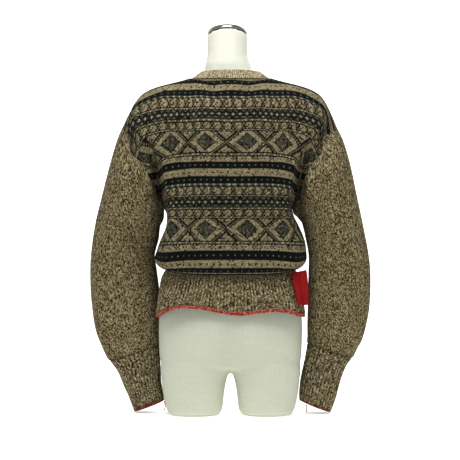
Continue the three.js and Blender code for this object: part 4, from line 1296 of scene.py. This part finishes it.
def front_band(side, seed):
    end = last_of(FRONT) + last_of(RIB_FRONT)
    fine = np.linspace(0, end, 240)
    lengths = lengths_along(np.array([band_edges(place, side)[0] for place in fine]))

    def laid(steps, lines):
        places = np.interp(np.linspace(0, lengths[-1], lines + 1), lengths, fine)
        edges = np.array([band_line(place, side, end) for place in places])
        share = np.linspace(0, 1, steps + 1)[:, None]
        grid = edges[:, :1] + (edges[:, 1:] - edges[:, :1]) * share
        return grid, outwards(grid, side)

    return rib_cloth(laid, BAND_RIBS, COLLAR_PAINTED_LIGHT_MARL, seed, steps=9, inner_steps=3, turned=True)


# ---------------- overlocked edges

THREADS = [linear(158, 50, 38), linear(192, 92, 74), linear(212, 160, 132), linear(116, 32, 26)]
DARK_THREADS = [linear(112, 34, 30), linear(138, 56, 46), linear(160, 104, 84), linear(84, 22, 20)]
THREAD_SHARES = [0.42, 0.26, 0.14, 0.18]
LOOP = np.array([0.0, 0.8, 1.0, 0.5])  # height across one loop of thread
LOOP_SLANT = 0.7  # columns that a loop moves sideways in one row
LOOP_RISE, BULGE_RISE, BASE_RISE = 0.7, 0.3, 0.2
# Painted shade in the gaps between loops and in the furrow between the two rows of loops.
GAP_PAINTED_SHADE, FURROW_PAINTED_SHADE = 0.6, 0.72
OVERLOCK_EXTRA = 0.6  # how much deeper an edging reaches than the knit
HEM_LOOPS = (80, 190, 80)
HEM_SAG = 0.6
SIDE_SHARE = 0.99  # the share across at which the hem's edging passes from one panel to the next


def overlocked(laid, steps, columns, inner_columns, loops, colours, seed, closed=False):
    """Slanted loops of thread in two rows with a furrow, with lighter specks and gaps between them, and
    painted shade in the gaps and the furrow.
    """
    rng = np.random.default_rng(seed)
    fine, ways = laid(steps, columns)
    plain, plain_ways = laid(2, inner_columns)
    row, column = np.arange(steps + 1)[:, None], np.arange(fine.shape[1])
    number = (column + np.round(row * LOOP_SLANT).astype(int)) % len(LOOP)
    bulge = np.abs(np.sin(FULL_TURN * (row / steps))) ** 0.5
    rise = LOOP[number] * LOOP_RISE * (0.3 + 0.7 * bulge) + bulge * BULGE_RISE + BASE_RISE
    picks = rng.choice(len(colours), (steps, loops), p=THREAD_SHARES)
    tints = across_columns(np.array(colours)[picks], len(LOOP))
    tints[:, :: len(LOOP)] *= GAP_PAINTED_SHADE
    tints[steps // 2] *= FURROW_PAINTED_SHADE
    places = spots(row[:, 0], np.arange(len(column) + closed) / len(LOOP))
    inner = plain - plain_ways * (KNIT + OVERLOCK_EXTRA)
    tints = tints[:, : len(column) - (not closed)]
    return walled(fine + ways * rise[..., None], inner, tints, colours[3], places, closed)


def hem_edging(opening, seed):
    """The overlocked edge of the hem, one strip from band to band round the back."""
    front = RIB_FRONT, HEMLINE_FRONT
    back = RIB_BACK, HEMLINE_BACK
    stretches = [
        (*front, np.linspace(opening, SIDE_SHARE, 200)),
        (*back, np.linspace(SIDE_SHARE, -SIDE_SHARE, 400)),
        (*front, np.linspace(-SIDE_SHARE, -opening, 200)),
    ]

    def laid(steps, counts):
        lines = []
        for raised in np.linspace(HEM_EDGE_HEIGHT - HEM_SAG, 0, steps + 1):
            lines.append([])
            for (rows, hemline, shares), count in zip(stretches, counts):
                line = rib_line(rows, hemline, last_of(rows), raised, shares)
                lines[-1].extend(even_line(line, count))
        grid = np.array(lines)
        return grid, outwards(grid, -1)

    columns = [count * len(LOOP) - 1 for count in HEM_LOOPS]
    columns[-1] += 1
    return overlocked(laid, 6, columns, (24, 60, 24), sum(HEM_LOOPS), THREADS, seed)


def cuff_edging(rows, side, seed):
    """The overlocked edge round a cuff's mouth, a little thicker than the rib above it."""
    loops = 90
    laid = ring_laid(rows, side, edge_place(rows, CUFF_EDGE_HEIGHT), last_of(rows))
    return overlocked(laid, 5, loops * len(LOOP), INNER_AROUND, loops, DARK_THREADS, seed, closed=True)


# ---------------- tape, tails, buttons


def tape_tab():
    """The tape folded in half: two soft lobes side by side."""
    columns, steps, lobe = 32, 40, 2.8
    ribs_across, ribs_down = 10, 24
    row = rows_down(TAPE, steps)
    share = np.linspace(0, 1, columns + 1)
    inner, outer = (point(*(row[edge + axis] for axis in "XYZ")) for edge in ("inner", "outer"))
    grid = inner + (outer - inner) * share[:, None]
    grid[..., 1] += lobe * np.abs(np.sin(FULL_TURN * share)) ** 0.7
    inner = (grid - outwards(grid, -1) * TAPE_THICKNESS)[::4, ::4]
    places = spots(np.linspace(0, last_of(TAPE), steps + 1) * ribs_down, share * ribs_across)
    return walled(grid, inner, 1.0, 1.0, places)


def capped(rings, tints, end_tint):
    """A closed surface from rings, with a flat face at each end."""
    cloth = Cloth()
    lines = cloth.layer(rings, tints, closed=True)
    cloth.cap(lines[0], 1, end_tint)
    cloth.cap(lines[-1], -1, end_tint)
    return cloth


def tail(points):
    """A twisted thread through points, with a small knot near its upper end."""
    steps, around = 36, 10
    knot_share, knot_length, twist, ply_rise = 0.16, 0.05, 34, 0.18
    share = np.linspace(0, 1, steps + 1)[:, None]
    line = between(np.array(points, float), share[:, 0] * (len(points) - 1))
    radius = TAIL_RADIUS * (0.8 + 0.9 * np.exp(-(((share - knot_share) / knot_length) ** 2)))
    angle = turns(around)
    plies = 1 + ply_rise * np.cos(2 * angle + share * twist)
    rings = line[:, None] + point(np.cos(angle), np.sin(angle), 0) * (radius * plies)[..., None]
    tints = np.tile(THREADS[0] * 0.9, (steps, around, 1))
    tints[:, ::3] *= 0.7
    return capped(rings, tints, THREADS[3])


def lathed(profile, around):
    """Rings of a profile of radius and height turned about Z, from its foot to its top."""
    radius, height = np.array(profile, float).T[..., None]
    return point(radius * np.cos(turns(around)), radius * np.sin(turns(around)), height)


def lathed_object(name, rings, look):
    """A closed object from rings whose first and last have no radius."""
    count, around = rings.shape[:2]
    numbers = np.tile(np.arange(around), (count, 1))
    numbers[[0, -1]] = 0
    cloth = Cloth()
    cloth.layer(rings, 1.0, numbers=numbers, closed=True)
    return cloth.build(name, look)


def rounded(profile, steps=5):
    """A profile with its corners eased, by a curve through the middles of its sides."""
    profile = np.array(profile, float)
    middles = (profile[1:] + profile[:-1]) / 2
    made = [profile[0]]
    for i, corner in enumerate(profile[1:-1]):
        for t in np.linspace(0, 1, steps):
            made.append((1 - t) ** 2 * middles[i] + 2 * t * (1 - t) * corner + t * t * middles[i + 1])
    return [*made, profile[-1]]


def button(name, place):
    """A round dished button with four holes, on the upper band."""
    radius, half, dish = 10.0, 2.0, 0.9
    hole, pitch, hole_depth = 1.1, 2.4, 1.1
    near = 0.2  # how far up and down the band its slope is measured
    clear = BAND_LIFT + 0.9 + half + 0.5
    above, below = (sum(band_edges(place + step, -1)) / 2 for step in (-near, near))
    down = below - above
    facing = np.array([0, down[2], -down[1]]) / math.hypot(down[1], down[2])
    centre = sum(band_edges(place, -1)) / 2 + facing * clear
    profile = [
        (0, -half),
        (radius - 1, -half),
        (radius, -half + 1.2),
        (radius, half - dish),
        (radius - 1.4, half),
        (radius - 3.2, half - dish),
        (0, half - dish),
    ]
    rings = lathed(rounded(profile), 48)
    top = rings[..., 2] > 0
    for x, y in ((pitch, pitch), (-pitch, pitch), (pitch, -pitch), (-pitch, -pitch)):
        away = np.hypot(rings[..., 0] - x, rings[..., 1] - y)
        rings[..., 2] -= np.where(top, hole_depth * np.exp(-((away / hole) ** 4)), 0)
    right = np.cross(facing, [0, 0, 1.0])
    right /= np.linalg.norm(right)
    axes = np.stack([right, np.cross(facing, right), facing])
    return lathed_object(name, rings @ axes + centre, horn)


# ---------------- dress form and cap

FORM_AROUND = 160
CLEFT_SOFTNESS = 26.0
STUMP_ROUNDNESS = 2.5
VOXEL = 4.0
FOOT = 1.5  # whatever is lower than this is set down on the floor


def section(row, middle_x, half, roundness):
    """Rings of a section with its own back and front depth."""
    angle = turns(FORM_AROUND) + math.pi / FORM_AROUND
    power = 2 / roundness
    cosine, sine = np.cos(angle), np.sin(angle)
    x = half * np.sign(cosine) * np.abs(cosine) ** power
    away = np.sign(sine) * np.abs(sine) ** power
    return point(middle_x + x, np.where(away > 0, away * row["back"], -away * row["front"]), row["z"])


def applied(obj):
    """Applies an object's modifiers to its mesh."""
    bpy.context.view_layer.update()
    seen = obj.evaluated_get(bpy.context.evaluated_depsgraph_get())
    mesh = bpy.data.meshes.new_from_object(seen)
    obj.modifiers.clear()
    obj.data = mesh


def dress_form():
    """The torso and the two stumps, joined softly."""
    row = rows_down(TORSO, 209)
    rings = section(row, row["middleX"], row["half"], row["roundness"])
    valley = row["cleft"] * np.exp(-((rings[..., 0] / CLEFT_SOFTNESS) ** 2))
    rings[..., 1] -= np.where(rings[..., 1] > 0, valley, 0)
    rings[..., 2] += row["tilt"] * (rings[..., 1] - NECK_CENTRE[1])
    form = capped(rings, 1.0, 1.0).build("form_linen", linen)
    row = rows_down(STUMP, 69)
    middle, half = (row["inner"] + row["outer"]) / 2, (row["outer"] - row["inner"]) / 2
    for side, name in ((1, "stump_left"), (-1, "stump_right")):
        rings = section(row, side * middle, half, STUMP_ROUNDNESS)
        stump = capped(rings, 1.0, 1.0).build(name, linen)
        join = form.modifiers.new("join", "BOOLEAN")
        join.object = stump
        join.operation = "UNION"
        join.solver = "EXACT"
        applied(form)
        bpy.data.objects.remove(stump)
    remesh = form.modifiers.new("remesh", "REMESH")
    remesh.mode = "VOXEL"
    remesh.voxel_size = VOXEL * MM
    remesh.use_smooth_shade = True
    soften = form.modifiers.new("soften", "SMOOTH")
    soften.factor = 0.5
    soften.iterations = 5
    applied(form)
    for vertex in form.data.vertices:
        if vertex.co.z < FOOT * MM:
            vertex.co.z = 0.0
    form.data.materials.clear()
    form.data.materials.append(linen)
    return form


def neck_cap():
    """The low metal dome on the cut of the neck, with a rolled edge."""
    profile = [
        (0, 0.4),
        (NECK_RADIUS, 0.4),
        (NECK_RADIUS + 0.5, 4),
        (NECK_RADIUS - 1.5, 8.5),
        (NECK_RADIUS - 7, 13),
        (NECK_RADIUS - 20, 15.5),
        (0, 16.5),
    ]
    rings = lathed(rounded(profile, 7), 96)
    tilt = math.atan(NECK_TILT)
    turned = [[1, 0, 0], [0, math.cos(tilt), math.sin(tilt)], [0, -math.sin(tilt), math.cos(tilt)]]
    return lathed_object("cap_dome", rings @ np.array(turned) + NECK_CENTRE, metal)


# ---------------- the pieces


def place_piece(obj, node):
    """Rides a piece on the part, in place of its solid."""
    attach(obj, "root")
    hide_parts(node)


place_piece(dress_form(), "dress_form")
place_piece(neck_cap(), "neck_cap")

place_piece(back_panel().build("knit_back", knit), "back")
SIDES = ((1, "left"), (-1, "right"))
for side, word in SIDES:
    panel = front_panel(side).build(f"knit_front_{word}", knit)
    place_piece(panel, f"front_{word}")

ARMS = ((SLEEVE_LEFT, CUFF_LEFT, 21, 0.198), (SLEEVE_RIGHT, CUFF_RIGHT, 22, 0.186))
for (side, word), (rows, cuff_rows, seed, area) in zip(SIDES, ARMS):
    made = sleeve(rows, cuff_rows, side, seed).build(f"sleeve_knit_{word}", marl)
    place_piece(made, f"sleeve_{word}")

for (side, word), rows, seed in zip(SIDES, (CUFF_LEFT, CUFF_RIGHT), (31, 32)):
    made = cuff(rows, side, seed).build(f"cuff_rib_{word}", rib_wool)
    place_piece(made, f"cuff_{word}")
    edge = cuff_edging(rows, side, seed + 2).build(f"cuff_overlock_{word}", overlock)
    place_piece(edge, f"cuff_edging_{word}")

opening = abs(share_of(row_at(RIB_FRONT, 1), BAND_HALF, 1))
hem = hem_panel(RIB_BACK, HEMLINE_BACK, -1, 1, HEM_RIBS_BACK, SEAM / 2, 1, [0, -1], 41)
made = hem.build("hem_rib_back", rib_wool)
place_piece(made, "hem_back")
for (side, word), seed in zip(SIDES, (42, 43)):
    ends = side * opening, side
    hem = hem_panel(RIB_FRONT, HEMLINE_FRONT, *ends, HEM_RIBS_FRONT, -SEAM / 2, -side, [-1], seed)
    made = hem.build(f"hem_rib_front_{word}", rib_wool)
    place_piece(made, f"hem_front_{word}")
EDGING_GAP = 0.02  # the share across between a front band and the hem's edging
edge = hem_edging(opening + EDGING_GAP, 44).build("hem_overlock", overlock)
place_piece(edge, "hem_edging")

place_piece(neck_band(51).build("neck_rib", rib_wool), "neck_band")
for (side, word), seed in zip(SIDES, (52, 53)):
    band = front_band(side, seed).build(f"band_rib_{word}", rib_wool)
    place_piece(band, f"band_{word}")

for number, place in enumerate(np.linspace(FIRST_BUTTON, LAST_BUTTON, BUTTON_COUNT), 1):
    place_piece(button(f"button_horn_{number}", place), f"button_{number}")

tab = tape_tab().build("tape_grosgrain", grosgrain)
place_piece(tab, "tape_tab")
for word, points in (
    ("left", [(156, -18, 26.6), (154.6, -18, 15), (155.6, -17, 4)]),
    ("right", [(-177, 19, 22.5), (-178, 19, 13), (-177, 18, 4)]),
    ("tab", [(-165, 98, 257), (-166, 99, 249), (-165.4, 98, 241)]),
):
    place_piece(tail(points).build(f"thread_{word}", overlock), f"tail_{word}")


# ---------------- stage, lights and camera


def floor_look():
    """White paper with painted light: it glows a little, more so behind the form."""
    look = Look("studio floor", 0.9, specular=0.0)
    paper = look.paint(look.plain(250, 250, 250), look.spread(look.noise(3.0), 0.995, 1.0))
    look.put(look.shader["Emission Color"], paper)
    glow = look.spread(look.axes(look.where)[1], 0.95, 0.4, -1.6, 0.2)
    look.put(look.shader["Emission Strength"], glow)
    return look.made


def stage_floor():
    """A floor that curves up into a backdrop on the side away from the camera."""
    front, back, bend, top, half = 0.8, -2.4, 1.4, 7.0, 8.0
    profile = [(front, 0.0), (back, 0.0)]
    for turn in np.linspace(0, math.pi / 2, 13)[1:]:
        profile.append((back - bend * math.sin(turn), bend - bend * math.cos(turn)))
    profile.append((back - bend, top))
    points = [(x, y, z) for y, z in profile for x in (-half, half)]
    triangles = []
    for a in range(0, len(points) - 2, 2):
        triangles += [(a, a + 1, a + 3), (a, a + 3, a + 2)]
    mesh_object("stage_floor", np.array(points), np.array(triangles), floor_look())


def lamp(name, where, aim, power, size):
    """A soft light at a point, turned to another point."""
    data = bpy.data.lights.new(name, "AREA")
    data.energy = power
    data.size = size
    light = bpy.data.objects.new(name, data)
    light.location = where
    light.rotation_euler = (Vector(aim) - Vector(where)).to_track_quat("-Z", "Y").to_euler()
    bpy.context.scene.collection.objects.link(light)


stage_floor()
world = bpy.data.worlds.new("studio")
bpy.context.scene.world = world
world.use_nodes = True
sky = next(node for node in world.node_tree.nodes if node.type == "BACKGROUND")
sky.inputs["Color"].default_value = (1.0, 1.0, 1.0, 1.0)
sky.inputs["Strength"].default_value = 0.32
lamp("key", (0.06, 0.85, 1.75), (0, 0, 0.7), power=24, size=0.9)
lamp("back_fill", (-0.6, -2.0, 1.5), (0, 0, 0.5), power=40, size=1.6)
bpy.context.scene.view_settings.view_transform = "Standard"

camera_data = bpy.data.cameras.new("camera")
camera = bpy.data.objects.new("camera", camera_data)
bpy.context.scene.collection.objects.link(camera)
camera.location = (-0.0011, 3.2108, 0.430)
camera.rotation_euler = (math.radians(90), 0, math.radians(180))
camera_data.lens = 106.58
camera_data.sensor_width = 36
bpy.context.scene.camera = camera
